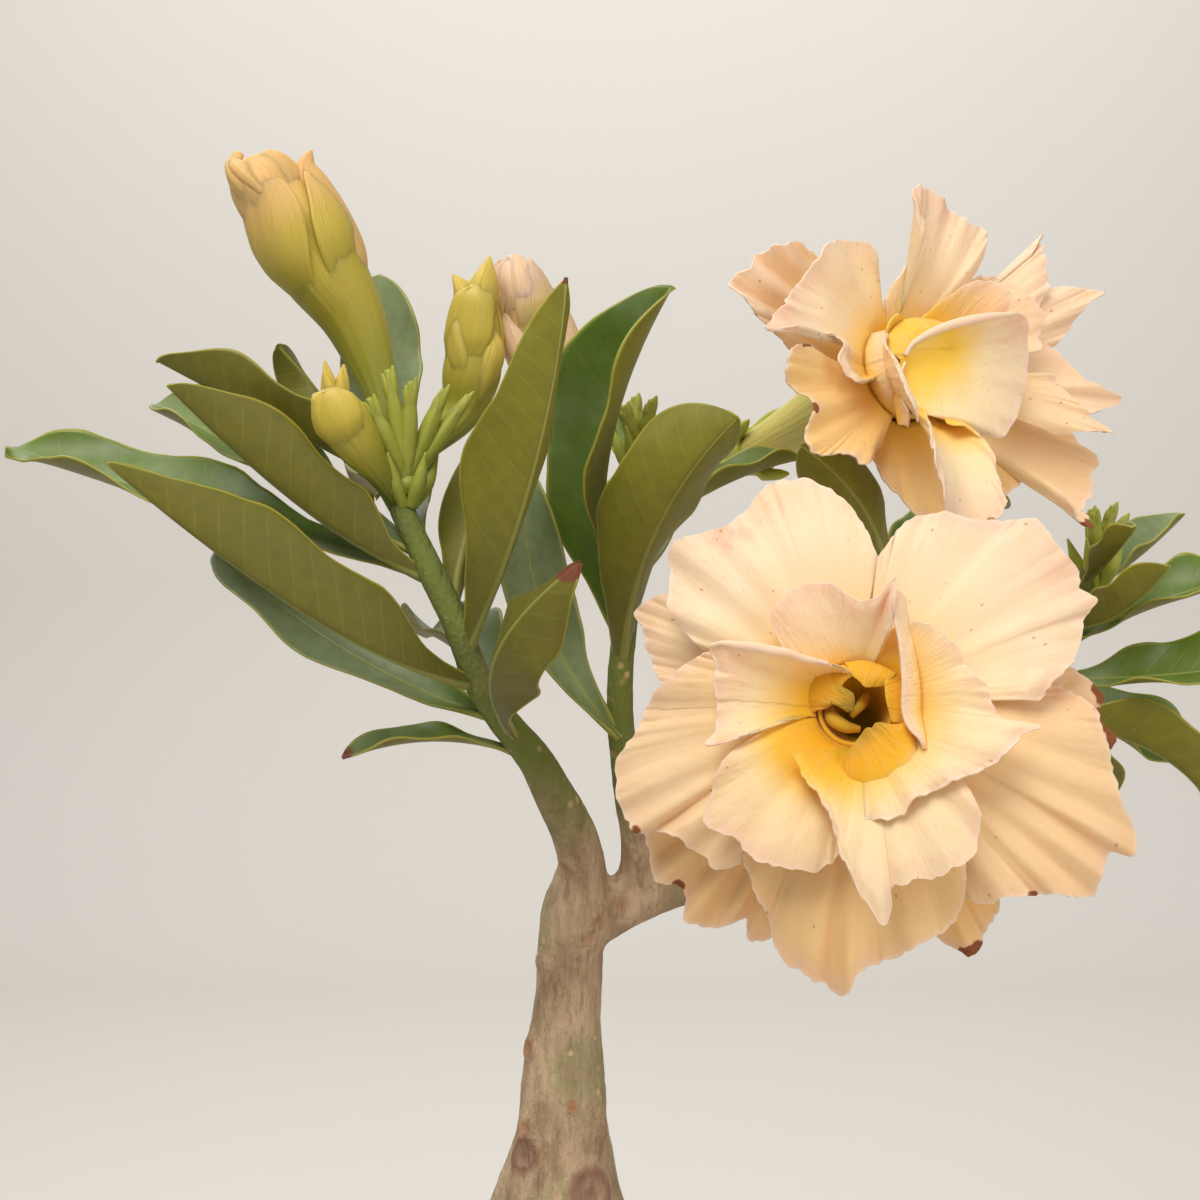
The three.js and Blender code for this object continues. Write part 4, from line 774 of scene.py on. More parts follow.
def through(points, shares):
    """Places on the smooth centripetal curve through the rows of points, at shares from 0 to 1."""
    points = np.asarray(points, float)
    place = np.clip(shares, 0, 1) * (len(points) - 1)
    k = np.minimum(place.astype(int), len(points) - 2)
    w = (place - k)[:, None]
    ends = np.concatenate([[2 * points[0] - points[1]], points, [2 * points[-1] - points[-2]]])
    p0, p1, p2, p3 = ends[k], ends[k + 1], ends[k + 2], ends[k + 3]

    def span(a, b):
        return np.sum((a[:, :3] - b[:, :3]) ** 2, axis=1)[:, None] ** 0.25

    d0, d1, d2 = span(p0, p1), span(p1, p2), span(p2, p3)
    m1 = ((p1 - p0) / d0 - (p2 - p0) / (d0 + d1) + (p2 - p1) / d1) * d1
    m2 = ((p2 - p1) / d1 - (p3 - p1) / (d1 + d2) + (p3 - p2) / d2) * d1
    return p1 + m1 * w + (3 * (p2 - p1) - 2 * m1 - m2) * w ** 2 + (2 * (p1 - p2) + m1 + m2) * w ** 3


def spine(points, steps):
    """Centres, radii, tangents and two across directions along a limb's path."""
    places = through(points, np.linspace(0, 1, steps + 1))
    centres, radii = places[:, :3], np.maximum(places[:, 3], 0.2)
    tangents = unit(np.gradient(centres, axis=0))
    first = np.zeros(3)
    first[np.argmin(np.abs(tangents[0]))] = 1
    normal = -unit(np.cross(tangents[0], unit(np.cross(first, tangents[0]))))
    normals = []
    for tangent in tangents:
        normal = unit(normal - tangent * np.dot(normal, tangent))
        normals.append(normal)
    normals = np.array(normals)
    return centres, radii, tangents, normals, np.cross(tangents, normals)


def limb(shape, points, sides, steps, swell=None, **values):
    """A closed round limb along the path. swell(share, angle) is what its radius gains."""
    centres, radii, _, normals, binormals = spine(points, steps)
    turns = np.linspace(0, FULL_TURN, sides, endpoint=False)
    share, turn = np.meshgrid(np.linspace(0, 1, steps + 1), turns, indexing="ij")
    reach = np.repeat(radii[:, None], sides, axis=1)
    if swell:
        reach = reach + swell(share, turn)
    ring = centres[:, None] + normals[:, None] * (np.cos(turn) * reach)[..., None]
    ring = ring + binormals[:, None] * (np.sin(turn) * reach)[..., None]
    whole = np.concatenate([ring.reshape(-1, 3), centres[:1], centres[-1:]])
    along = np.concatenate([share.ravel(), [0, 1]])
    around = np.concatenate([turn.ravel(), [0, 0]])
    extra = {key: np.full(len(whole), value) for key, value in values.items()}
    shape.add(whole, ring_faces(steps + 1, sides), along=along, around=around, **extra)


def turned(shape, profile, sides, place=None, **values):
    """A profile of [radius, height] points turned about its axis; it starts and ends on the axis."""
    profile = np.asarray(profile, float)
    inner = profile[1:-1]
    turns = np.linspace(0, FULL_TURN, sides, endpoint=False)
    radius, turn = np.meshgrid(inner[:, 0], turns, indexing="ij")
    height = np.repeat(inner[:, 1:], sides, axis=1)
    rings = np.stack([radius * np.cos(turn), radius * np.sin(turn), height], axis=-1)
    ends = np.array([[0, 0, profile[0, 1]], [0, 0, profile[-1, 1]]])
    points = np.concatenate([rings.reshape(-1, 3), ends])
    extra = {key: value(points) for key, value in values.items()}
    shape.add(place(points) if place else points, ring_faces(len(inner), sides), **extra)


def rounded(corners, radius, steps=4):
    """The corners of an open outline rounded off with short arcs."""
    corners = np.asarray(corners, float)
    out = [corners[0]]
    for a, b, c in zip(corners, corners[1:], corners[2:]):
        cut = min(radius, np.linalg.norm(a - b) / 2, np.linalg.norm(c - b) / 2)
        start, end = b + unit(a - b) * cut, b + unit(c - b) * cut
        for w in np.arange(steps + 1) / steps:
            out.append(start * (1 - w) ** 2 + b * 2 * w * (1 - w) + end * w ** 2)
    return np.array([*out, corners[-1]])


def modify(thing, kind, **settings):
    """Adds a modifier and applies it, so that the mesh is final."""
    modifier = thing.modifiers.new(kind.title(), kind)
    for key, value in settings.items():
        setattr(modifier, key, value)
    with bpy.context.temp_override(object=thing, active_object=thing, selected_objects=[thing]):
        bpy.ops.object.modifier_apply(modifier=modifier.name)


def fused(shape, name, voxel, smooth=6):
    """The shape's closed pieces grown together into one skin."""
    thing = link(name, shape.mesh(name))
    modify(thing, "REMESH", mode="VOXEL", voxel_size=voxel * MM, use_smooth_shade=True)
    modify(thing, "SMOOTH", factor=0.5, iterations=smooth)
    mesh = thing.data
    bpy.data.objects.remove(thing)
    return mesh


def read(mesh, key):
    """The mesh's points, as "co" and in metres, or its normals, as "normal"."""
    values = np.zeros(len(mesh.vertices) * 3, np.float32)
    mesh.vertices.foreach_get(key, values)
    return values.reshape(-1, 3)


def move_points(mesh, points):
    mesh.vertices.foreach_set("co", (points * MM).astype(np.float32).ravel())
    mesh.update()


def paint(mesh, key, values):
    """Stores one value at each point, for a material to read."""
    mesh.attributes.new(key, "FLOAT", "POINT").data.foreach_set("value", values.astype(np.float32))


# ---------------------------------------------------------------- materials

def tint(red, green, blue):
    """An sRGB colour from 0 to 255 as Blender's linear one."""
    shares = [channel / 255 for channel in (red, green, blue)]
    return [s / 12.92 if s <= 0.04045 else ((s + 0.055) / 1.055) ** 2.4 for s in shares] + [1.0]


class Value:
    """What a node of a material gives, with short ways to reckon with it."""

    def __init__(self, look, socket):
        self.look = look
        self.socket = socket

    def __add__(self, other):
        return self.look.math("ADD", self, other)

    def __sub__(self, other):
        return self.look.math("SUBTRACT", self, other)

    def __mul__(self, other):
        return self.look.math("MULTIPLY", self, other)

    def step(self, low, high, bottom=0.0, top=1.0):
        """Runs smoothly from bottom to top as the value goes from low to high."""
        given = dict(enumerate((self, low, high, bottom, top)))
        return self.look.node("MapRange", given, interpolation_type="SMOOTHSTEP")

    def parts(self):
        """x, y and z of a vector, or red, green and blue."""
        first = self.look.node("SeparateXYZ", {0: self})
        return [Value(self.look, socket) for socket in first.socket.node.outputs]


class Look:
    def __init__(self, name):
        self.material = bpy.data.materials.new(name)
        self.material.use_nodes = True
        self.tree = self.material.node_tree
        self.tree.nodes.clear()
        self.shader = self.tree.nodes.new("ShaderNodeBsdfPrincipled")
        output = self.tree.nodes.new("ShaderNodeOutputMaterial")
        self.tree.links.new(self.shader.outputs[0], output.inputs[0])
        self.colour = None

    def feed(self, socket, value):
        if isinstance(value, Value):
            self.tree.links.new(value.socket, socket)
        else:
            socket.default_value = value

    def node(self, kind, given, output=0, **settings):
        """A node of this kind with the given inputs and settings; the value is that of one output."""
        node = self.tree.nodes.new("ShaderNode" + kind)
        for key, value in settings.items():
            setattr(node, key, value)
        for key, value in given.items():
            self.feed(node.inputs[key], value)
        return Value(self, node.outputs[output])

    def read(self, *keys):
        """The values that are stored at the mesh's points."""
        return [self.node("Attribute", {}, "Fac", attribute_name=key) for key in keys]

    def place(self):
        return self.node("TexCoord", {}, "Object")

    def up(self):
        return self.node("NewGeometry", {}, "Normal").parts()[2]

    def join(self, x, y, z=0.0):
        return self.node("CombineXYZ", {0: x, 1: y, 2: z})

    def math(self, operation, a, b=0.0):
        return self.node("Math", {0: a, 1: b}, operation=operation)

    def noise(self, vector, scale, detail=3.0, roughness=0.55):
        given = {"Vector": vector, "Scale": scale, "Detail": detail, "Roughness": roughness}
        return self.node("TexNoise", given, "Fac")

    def cells(self, vector, scale, output="Distance"):
        return self.node("TexVoronoi", {"Vector": vector, "Scale": scale}, output)

    def mix(self, factor, a, b):
        """The colour a where factor is 0 and b where it is 1."""
        return self.node("Mix", {0: factor, 6: a, 7: b}, 2, data_type="RGBA")

    def cover(self, mask, colour):
        """Lays a colour over what is there, as strongly as the mask says."""
        self.colour = self.mix(mask, self.colour, colour)

    def ramp(self, value, stops):
        """Colours at places from 0 to 1."""
        ramp = self.node("ValToRGB", {0: value})
        elements = ramp.socket.node.color_ramp.elements
        while len(elements) < len(stops):
            elements.new(1.0)
        for element, (position, colour) in zip(elements, stops):
            element.position = position
            element.color = colour
        return ramp

    def set(self, **sockets):
        """Sets or links the shader's sockets, named with underscores for spaces."""
        for key, value in sockets.items():
            self.feed(self.shader.inputs[key.replace("_", " ")], value)

    def glow(self, weight, scale, radius):
        """The light that goes through the skin."""
        self.set(Subsurface_Weight=weight, Subsurface_Scale=scale, Subsurface_Radius=radius)

    def sheen(self, weight, roughness):
        self.set(Sheen_Weight=weight, Sheen_Roughness=roughness)

    def bump(self, height, distance, strength):
        """distance is in millimetres."""
        given = {"Height": height, "Distance": distance * MM, "Strength": strength}
        self.set(Normal=self.node("Bump", given))

    def finish(self, roughness, specular=0.5):
        self.set(Base_Color=self.colour, Roughness=roughness, Specular_IOR_Level=specular)
        return self.material


def petal_look(name, throat, margin):
    """Petals: golden in the throat, then cream and peach, pinkish at the margin, with radial folds."""
    look = Look(name)
    reach, rim, fan, shade = look.read("reach", "rim", "fan", "shade")
    warm, pink, dry, tube, deep = look.read("warm", "blush", "dry", "tube", "deep")
    wrinkles = look.noise(look.join(fan, reach * 0.02), 9.0, 4.0)
    broad = look.noise(look.join(fan, reach * 0.05, shade), 1.6)
    crepe = look.noise(look.join(fan, reach * 0.01), 26.0, 2.0) * rim.step(16.0, 2.0)
    stripes = look.noise(look.join(fan, look.up() * 0.02), 14.0)
    outside = reach.step(9.0, 16.0)
    look.colour = look.ramp((reach + (broad - 0.5) * 5.0) * (1 / 45), throat + [
        (0.29, tint(250, 213, 142)),
        (0.37, tint(250, 222, 176)),
        (0.6, tint(248, 219, 186)),
        (1.0, tint(243, 209, 182)),
    ])
    # Painted shade: a golden tinge on the lobes that face down, partly their own tone.
    look.cover(warm * 0.75, tint(248, 200, 118))
    look.cover(rim.step(4.0, 0.0) * (outside * broad.step(0.35, 0.65)) * 0.6, margin)
    look.cover(rim.step(0.9, 0.2) * outside * 0.6, tint(250, 216, 196))
    look.cover(pink * wrinkles.step(0.3, 0.7) * 0.7, tint(238, 160, 146))
    look.cover(wrinkles.step(0.35, 0.75) * rim.step(26.0, 0.0) * 0.2, tint(240, 188, 128))
    look.cover(crepe.step(0.45, 0.8) * 0.25, tint(240, 188, 128))
    specks = look.cells(look.join(fan * 9.0, reach * 0.16, shade), 1.3)
    look.cover(specks.step(0.09, 0.05) * 0.55, tint(170, 112, 70))
    look.cover((dry * 0.75 + look.noise(look.place(), 700.0) * 0.35).step(0.42, 0.62), tint(136, 76, 36))
    look.cover(tube, look.mix(stripes.step(0.35, 0.7), tint(224, 206, 116), tint(186, 180, 76)))
    look.cover(deep, tint(200, 184, 60))
    look.glow(0.4, 0.0011, (1.0, 0.7, 0.4))
    look.sheen(0.15, 0.5)
    look.bump(wrinkles * rim.step(30.0, 0.0) + broad * 0.5 + crepe * 0.6, 0.55, 0.6)
    return look.finish(0.5, 0.25)


def leaf_look():
    """Leaves: green above with a painted bluish grey reflection, olive below with painted shade, a pale
    midrib and a thin pale margin.
    """
    look = Look("leaf_skin")
    across, length, half, along = look.read("across", "length", "half", "along")
    haze, depth, side, dry = look.read("haze", "depth", "side", "dry")
    away = look.math("ABSOLUTE", across)
    margin = half - away
    patch = look.noise(look.place(), 45.0)
    mottle = look.noise(look.place(), 420.0, 4.0)
    veins = look.math("PINGPONG", length - away * 0.75 + patch * 3.0, 2.3)
    vein = veins.step(0.4, 0.0) * (away.step(0.2, 1.2) * margin.step(0.3, 2.5))
    rib = look.math("DIVIDE", away, along.step(0.0, 1.0, 1.0, 0.3)).step(0.75, 0.25)
    look.colour = look.mix(patch, tint(80, 110, 26), tint(114, 134, 46))
    # Painted reflection: bluish grey patches on the upper side, and a stronger bluish grey layer on some
    # leaves, stand in for the sky's glossy reflection.
    look.cover(patch.step(0.45, 0.7) * 0.45, tint(142, 156, 124))
    look.cover(haze, tint(176, 186, 156))
    above = look.colour
    look.colour = look.mix(patch, tint(110, 110, 12), tint(146, 138, 30))
    # Painted shade: the underside darker toward the stem, and darker on the leaves that lie in shade (depth).
    look.cover(along.step(0.5, 0.0, 0.0, 0.45), tint(78, 76, 22))
    look.cover(depth, tint(78, 72, 20))
    look.cover(side, above)
    look.cover(mottle.step(0.3, 0.75) * 0.24, tint(60, 66, 22))
    look.cover(vein * 0.07, tint(176, 182, 90))
    look.cover(rib * 0.45, tint(172, 176, 92))
    look.cover(margin.step(0.42, 0.18) * 0.45, tint(190, 178, 66))
    look.cover((dry * 0.75 + mottle * 0.25).step(0.45, 0.55), tint(118, 62, 32))
    look.glow(0.12, 0.0015, (0.6, 1.0, 0.2))
    look.sheen(0.05, 0.4)
    lines = look.math("MAXIMUM", vein * 0.12, rib * 0.6)
    look.bump(lines * -1.0 + mottle * 0.3, 0.25, 0.6)
    return look.finish(side.step(0.0, 1.0, 0.55, 0.4), 0.45)


def bud_look():
    """Buds: green stalk, yellow-green tube and a cream to pink head with fine lengthwise stripes."""
    look = Look("bud_skin")
    along, around, ripe, furled = look.read("along", "around", "ripe", "furled")
    stripes = look.noise(look.join(around * 3.0, along * 2.0), 3.0, 4.0)
    patch = look.noise(look.place(), 160.0)
    head = look.mix(ripe.step(0.3, 1.2), tint(226, 212, 116), tint(230, 182, 116))
    head = look.mix(ripe.step(1.4, 2.0), head, tint(246, 204, 168))
    look.colour = look.ramp(along + (patch - 0.5) * 0.1, [
        (0.0, tint(108, 128, 50)),
        (0.3, tint(162, 156, 58)),
        (0.6, tint(198, 176, 68)),
        (0.85, tint(212, 184, 84)),
        (1.0, tint(224, 196, 110)),
    ])
    grown = ripe * 0.12 + (along + (patch - 0.5) * 0.2)
    look.cover(grown.step(0.82, 1.1) * ripe.step(0.0, 1.0), head)
    tips = look.mix(ripe.step(0.6, 1.2), tint(228, 196, 96), head)
    look.cover(furled * ripe.step(0.0, 1.2, 0.4, 1.0), tips)
    look.cover(stripes.step(0.4, 0.8) * 0.25, tint(132, 142, 52))
    look.cover(patch.step(0.62, 0.75) * 0.25, tint(222, 160, 96))
    look.glow(0.3, 0.003, (1.0, 0.8, 0.35))
    look.bump(stripes, 0.35, 0.5)
    return look.finish(0.42, 0.35)


def stalk_look():
    """Stalks, calyxes and the small pointed buds: yellow-green, a little ribbed."""
    look = Look("stalk_skin")
    ribs = look.noise(look.place(), 260.0, 4.0)
    patch = look.noise(look.place(), 90.0)
    look.colour = look.mix(patch, tint(132, 142, 52), tint(186, 188, 78))
    look.cover(ribs.step(0.45, 0.8) * 0.4, tint(206, 204, 116))
    look.glow(0.2, 0.002, (0.8, 1.0, 0.3))
    look.bump(ribs, 0.3, 0.5)
    return look.finish(0.5, 0.35)


def bark_look():
    """Bark: grey-beige and fissured, greener up the branches, with rusty scars."""
    look = Look("bark_skin")
    place = look.place()
    x, y, z = place.parts()
    young, scar, rust = look.read("young", "scar", "rust")
    streaks = look.noise(look.join(x, y, z * 0.28), 240.0, 6.0, 0.65)
    cracks = look.noise(look.join(x, y, z * 0.22), 700.0, 4.0, 0.7)
    patch = look.noise(place, 60.0, 4.0)
    grit = look.noise(place, 900.0)
    dots = look.cells(place, 330.0).step(0.28, 0.16)
    look.colour = look.mix(streaks.step(0.3, 0.7), tint(152, 126, 98), tint(200, 174, 142))
    look.cover(cracks.step(0.5, 0.68) * 0.5, tint(112, 92, 74))
    look.cover(patch.step(0.45, 0.65) * 0.5, tint(150, 148, 104))
    look.cover(patch.step(0.6, 0.75) * 0.5, tint(172, 134, 112))
    look.cover(young + (patch - 0.5) * 0.5, look.mix(patch, tint(92, 108, 44), tint(128, 136, 66)))
    look.cover(dots * patch.step(0.5, 0.62), tint(206, 172, 130))
    look.cover(grit.step(0.62, 0.8) * 0.35, tint(212, 196, 164))
    look.cover(scar, look.mix(streaks, tint(92, 56, 50), tint(150, 100, 84)))
    look.cover(rust * 0.8, tint(172, 104, 60))
    look.bump(streaks * 0.8 + (grit * 0.4 + cracks * -0.7), 1.1, 0.9)
    return look.finish(0.78, 0.25)


def soil_look():
    """Dry gritty soil: dark crumbs with some tan and grey grains."""
    look = Look("soil_crumb")
    place = look.place()
    (stone,) = look.read("stone")
    crumbs = look.noise(place, 380.0, 6.0, 0.7)
    kind = look.cells(place, 320.0, "Color").parts()[0]
    look.colour = look.mix(crumbs, tint(46, 34, 26), tint(98, 76, 58))
    look.cover(stone * 0.85, look.mix(kind, tint(120, 100, 78), tint(176, 164, 146)))
    look.bump(crumbs, 1.2, 0.9)
    return look.finish(0.92, 0.2)


def terracotta_look():
    """Fired clay: warm orange-brown with turning lines, a pale bloom of salts and darker towards the foot."""
    look = Look("terracotta_clay")
    place = look.place()
    x, y, z = place.parts()
    turning = look.noise(look.join(x * 0.05, y * 0.05, z), 900.0, 2.0)
    patch = look.noise(place, 26.0, 5.0)
    pores = look.noise(place, 700.0)
    look.colour = look.mix(patch.step(0.3, 0.7), tint(168, 92, 58), tint(196, 118, 80))
    look.cover(patch.step(0.52, 0.68) * pores.step(0.35, 0.7) * 0.4, tint(220, 190, 166))
    look.cover((z + patch * 0.02).step(0.035, 0.0) * 0.5, tint(132, 74, 50))
    look.cover(pores.step(0.6, 0.8) * 0.3, tint(120, 62, 40))
    look.bump(turning * 0.6 + pores * 0.5, 0.35, 0.6)
    return look.finish(0.85, 0.25)


def paper_look():
    look = Look("studio_paper")
    look.colour = look.mix(look.noise(look.place(), 3.0) * 0.06, tint(222, 219, 214), tint(180, 180, 180))
    return look.finish(0.9)


# ---------------------------------------------------------------- pot and soil

def pot_inner_radius(height):
    outer = POT_FOOT_RADIUS + (POT_TOP_RADIUS - RIM_STEP - POT_FOOT_RADIUS) * height / POT_HEIGHT
    return outer - POT_WALL


def make_pot(look):
    band = POT_HEIGHT - RIM_HEIGHT
    inside = pot_inner_radius(band) + POT_WALL
    corners = [
        [POT_FOOT_RADIUS / 2, 0],
        [POT_FOOT_RADIUS, 0],
        [inside, band],
        [inside + RIM_STEP, band + 0.4],
        [POT_TOP_RADIUS, POT_HEIGHT],
        [pot_inner_radius(POT_HEIGHT), POT_HEIGHT],
        [pot_inner_radius(POT_WALL), POT_WALL],
        [POT_FOOT_RADIUS / 2, POT_WALL],
    ]
    shape = Shape()
    turned(shape, [[0, 0], *rounded(corners, POT_EDGE), [0, POT_WALL]], POT_SIDES)
    pot = piece("terracotta_pot", shape, look, "terracotta", "pot")
    for turn in FULL_TURN * np.arange(DRAIN_HOLES) / DRAIN_HOLES:
        at = Vector((DRAIN_RING * math.cos(turn), DRAIN_RING * math.sin(turn), POT_WALL / 2)) * MM
        bpy.ops.mesh.primitive_cylinder_add(
            vertices=DRILL_SIDES, radius=DRAIN_RADIUS * MM, depth=3 * POT_WALL * MM, location=at,
        )
        drill = bpy.context.object
        modify(pot, "BOOLEAN", operation="DIFFERENCE", object=drill, solver="EXACT")
        bpy.data.objects.remove(drill)


def make_soil(look):
    """A lumpy bed of soil."""
    outer = pot_inner_radius(SOIL_TOP) - GAP
    foot = pot_inner_radius(POT_WALL + GAP) - GAP
    rings = [[radius, SOIL_TOP] for radius in np.linspace(SOIL_HEART, outer, SOIL_RINGS)[::-1]]
    profile = [[0, POT_WALL + GAP], [foot, POT_WALL + GAP], [outer, SOIL_TOP - 3], *rings, [0, SOIL_TOP]]
    shape = Shape()
    turned(shape, profile, SOIL_SIDES)
    mesh = shape.mesh("soil_bed")
    points = read(mesh, "co") / MM
    top = (points[:, 2] > SOIL_TOP - 1) & (np.hypot(points[:, 0], points[:, 1]) > 1)
    lumps = [sum(high * noise.noise(Vector(p) * fine) for high, fine in SOIL_LUMPS) for p in points[top]]
    points[top, 2] += np.array(lumps) - 0.3
    move_points(mesh, points)
    piece("soil_bed", mesh, look, "soil", "soil")


def make_grains(look):
    """Loose grains pressed into the top of the soil."""
    outer = pot_inner_radius(SOIL_TOP) - GAP
    rng = np.random.default_rng(GRAIN_SEED)
    grains = Shape()
    ball_points, ball_faces = icosphere()
    for _ in range(GRAINS):
        turn, spot = rng.uniform(0, FULL_TURN), math.sqrt(rng.uniform(0.36, 0.94)) * outer
        size = rng.uniform(*GRAIN_SIZES)
        stretch = rng.uniform(0.6, 1.2, 3) * size
        rough = 1 + 0.16 * rng.uniform(-1, 1, (len(ball_points), 1))
        at = [spot * math.cos(turn), spot * math.sin(turn), SOIL_TOP + 0.1 + 0.2 * size]
        angle = rng.uniform(0, math.pi)
        twist = np.array([
            [math.cos(angle), -math.sin(angle), 0],
            [math.sin(angle), math.cos(angle), 0],
            [0, 0, 1],
        ])
        points = (ball_points * stretch * rough) @ twist.T + at
        grains.add(points, [ball_faces], stone=np.full(len(points), rng.uniform(0, 1) ** 0.7))
    piece("soil_grains", grains, look, "soil")


def icosphere():
    bpy.ops.mesh.primitive_ico_sphere_add(subdivisions=2, radius=1)
    ball = bpy.context.object
    points = read(ball.data, "co")
    faces = np.array([face.vertices[:] for face in ball.data.polygons])
    bpy.data.objects.remove(ball)
    return points, faces


# ---------------------------------------------------------------- trunk

def make_trunk(look):
    """The trunk and its branches in one skin, with lumps, and with scars and rust at its old cuts."""
    shape = Shape()
    limb(shape, TRUNK, sides=64, steps=110)
    for branch in BRANCHES.values():
        limb(shape, branch, sides=24, steps=60)
    mesh = fused(shape, "trunk_bark", BARK_VOXEL)
    points, normals = read(mesh, "co") / MM, read(mesh, "normal")
    height = points[:, 2]
    nearest = np.full(len(points), np.inf)
    for branch in BRANCHES.values():
        for x, y, z, radius in through(branch, np.linspace(0, 1, 40)):
            away = np.linalg.norm(points - [x, y, z], axis=1) - radius
            nearest = np.minimum(nearest, away)
    twig = smoothstep(*NEAR_TWIG, nearest)
    rough = np.array([
        noise.fractal(Vector((x * 0.16, y * 0.16, z * 0.07)), 0.9, 2.1, 4) for x, y, z in points
    ])
    lumps = np.array([noise.noise(Vector(p) * 0.06) for p in points])
    gain = BARK_ROUGHNESS * rough * (1 - 0.75 * twig) + BARK_LUMPS * lumps * smoothstep(*LUMPY, height)
    scar, rust = np.zeros((2, len(points)))
    for x, y, z, radius, dark in SCARS:
        away = np.linalg.norm(points - [x, y, z], axis=1) / (radius * 1.25)
        gain += 0.55 * np.exp(-((away - 0.75) / 0.28) ** 2) - 0.25 * np.exp(-((away / 0.35) ** 2))
        if radius > WIDE_SCAR:
            ringed = 0.4 + 0.45 * np.exp(-((away - 0.7) / 0.16) ** 2) + 0.4 * smoothstep(0.4, 0.1, away)
            scar = np.maximum(scar, dark * ringed * smoothstep(1.05, 0.85, away))
        else:
            rust = np.maximum(rust, dark * smoothstep(0.95, 0.4, away))
    move_points(mesh, points + normals * gain[:, None])
    paint(mesh, "young", twig * smoothstep(*YOUNG, height) * 0.95)
    paint(mesh, "scar", scar)
    paint(mesh, "rust", rust)
    piece("trunk_bark", mesh, look, "bark", "trunk")


# ---------------------------------------------------------------- leaves

def blade_outline(t, foot, widest, roundness):
    """Half the width along a blade: narrow at the foot, widest at widest, closed round the tip."""
    rising = foot + (1 - foot) * np.sin(np.clip(t / widest, 0, 1) * math.pi / 2) ** 1.5
    past = np.clip((t - widest) / (1 - widest), 0, 1)
    return np.where(t < widest, rising, (1 - past ** roundness) ** (1 / roundness))


def make_leaf(name, leaf, depth, seed, look):
    root, tip, bow, face = (np.array(values, float) for values in leaf[:4])
    width, fold, wave = leaf[4]
    control = (root + tip) / 2 + 2 * bow
    up = unit(face)
    whole = np.linalg.norm(tip - root)
    widest, roundness = LEAF_TIPS.get(name, LEAF_TIP)

    def half_width(t):
        outline = blade_outline(t, LEAF_FOOT, widest, roundness)
        nicks = 1 + 0.02 * wander(t * whole / 4, seed + 50)
        return np.maximum(width / 2 * outline * nicks, LEAF_LEAST + LEAF_STEM * (1 - t))

    def point_at(t, u):
        t3 = t[..., None]
        centre = root * (1 - t3) ** 2 + control * 2 * t3 * (1 - t3) + tip * t3 ** 2
        tangent = unit((control - root) * (1 - t3) + (tip - control) * t3)
        side = unit(np.cross(tangent, up))
        normal = np.cross(side, tangent)
        half = half_width(t)
        away = np.sqrt(u * u + 0.004) - 0.06
        tilt = np.radians(fold + LEAF_CURL * away)
        phase = np.where(u > 0, *LEAF_PHASES)
        swing = np.sin(FULL_TURN * LEAF_WAVES * t + phase) + 0.5 * wander(t * 6, seed + 80)
        ripple = LEAF_WAVE_SHARE * wave * u * u * swing * np.minimum(1, 3 * t)
        small = 0.22 * wander(t * whole / 3.5 + 20 * (u > 0), seed) * np.abs(u) ** 3 * np.minimum(1, 4 * t)
        lift = away * half * np.sin(tilt) + ripple + small
        return centre + side * (u * half * np.cos(tilt))[..., None] + normal * lift[..., None]

    def thickness_at(t, u):
        stem = PETIOLE_SWELL * np.maximum(0, 1 - t / PETIOLE) * (1 - 0.6 * np.abs(u))
        rib = LEAF_MIDRIB * (1 - np.abs(u)) ** 8 * (1 - 0.7 * t)
        return LEAF_MARGIN * (1 - 0.35 * np.abs(u)) + rib + stem

    def values_at(t, u):
        half = half_width(t)
        dry_t, dry_u, radius, strength = LEAF_DRY.get(name, [0, 0, 1, 0])
        away = np.hypot(t - dry_t, (u - dry_u) * half / whole) / radius
        return {
            "along": t, "across": u * half, "half": half, "length": t * whole,
            "dry": strength * smoothstep(1.3, 0.3, away),
            # depth: painted shade on the underside
            "depth": np.full_like(t, LEAF_UNDERSIDE_SHADE.get(name, depth)),
            "haze": LEAF_PAINTED_REFLECTION.get(name, 0) * smoothstep(0.05, 0.4, t),
        }

    shape = Shape()
    sheet(shape, LEAF_ROWS, LEAF_COLS, point_at, thickness_at, values_at)
    piece(f"leaf_blade_{name}", shape, look, "leaf", f"leaf_{name}")


def make_leaves(look):
    seed = 0
    for branch, leaves in LEAVES.items():
        for number, leaf in enumerate(leaves, 1):
            make_leaf(f"{branch}_{number:02d}", leaf, LEAF_UNDERSIDE_SHADE[branch], seed, look)
            seed += 1


# ---------------------------------------------------------------- blooms

def bloom_place(bloom):
    """A function from a bloom's own frame, whose +Z runs out of the mouth, to the plant's."""
    axis = unit(np.array(bloom["axis"], float))
    across = unit(np.cross([0, 0, 1], axis))
    basis = np.stack([across, np.cross(axis, across), axis])
    return lambda points: np.array(bloom["at"]) + np.asarray(points, float) @ basis


def margin_line(points, count):
    """Evenly spaced x, y and lift along the smooth curve through a margin's points, and its length."""
    angle, radius, lift = np.array(points, float).T
    turn = np.radians(angle)
    corners = np.stack([radius * np.cos(turn), radius * np.sin(turn), lift], axis=1)
    fine = through(corners, np.linspace(0, 1, 24 * len(corners)))
    run = np.concatenate([[0], np.cumsum(np.linalg.norm(np.diff(fine[:, :2], axis=0), axis=1))])
    even = np.linspace(0, run[-1], count)
    return np.stack([np.interp(even, run, column) for column in fine.T], axis=1), run[-1]


def spots_at(x, y, spots, whorl):
    """How strongly the spots [whorl, angle, radius, size, strength] mark each place."""
    marked = np.zeros_like(x)
    for name, angle, radius, size, strength in spots:
        if name == whorl:
            turn = math.radians(angle)
            away = np.hypot(x - radius * math.cos(turn), y - radius * math.sin(turn)) / size
            marked = np.maximum(marked, strength * smoothstep(1.2, 0.3, away))
    return marked


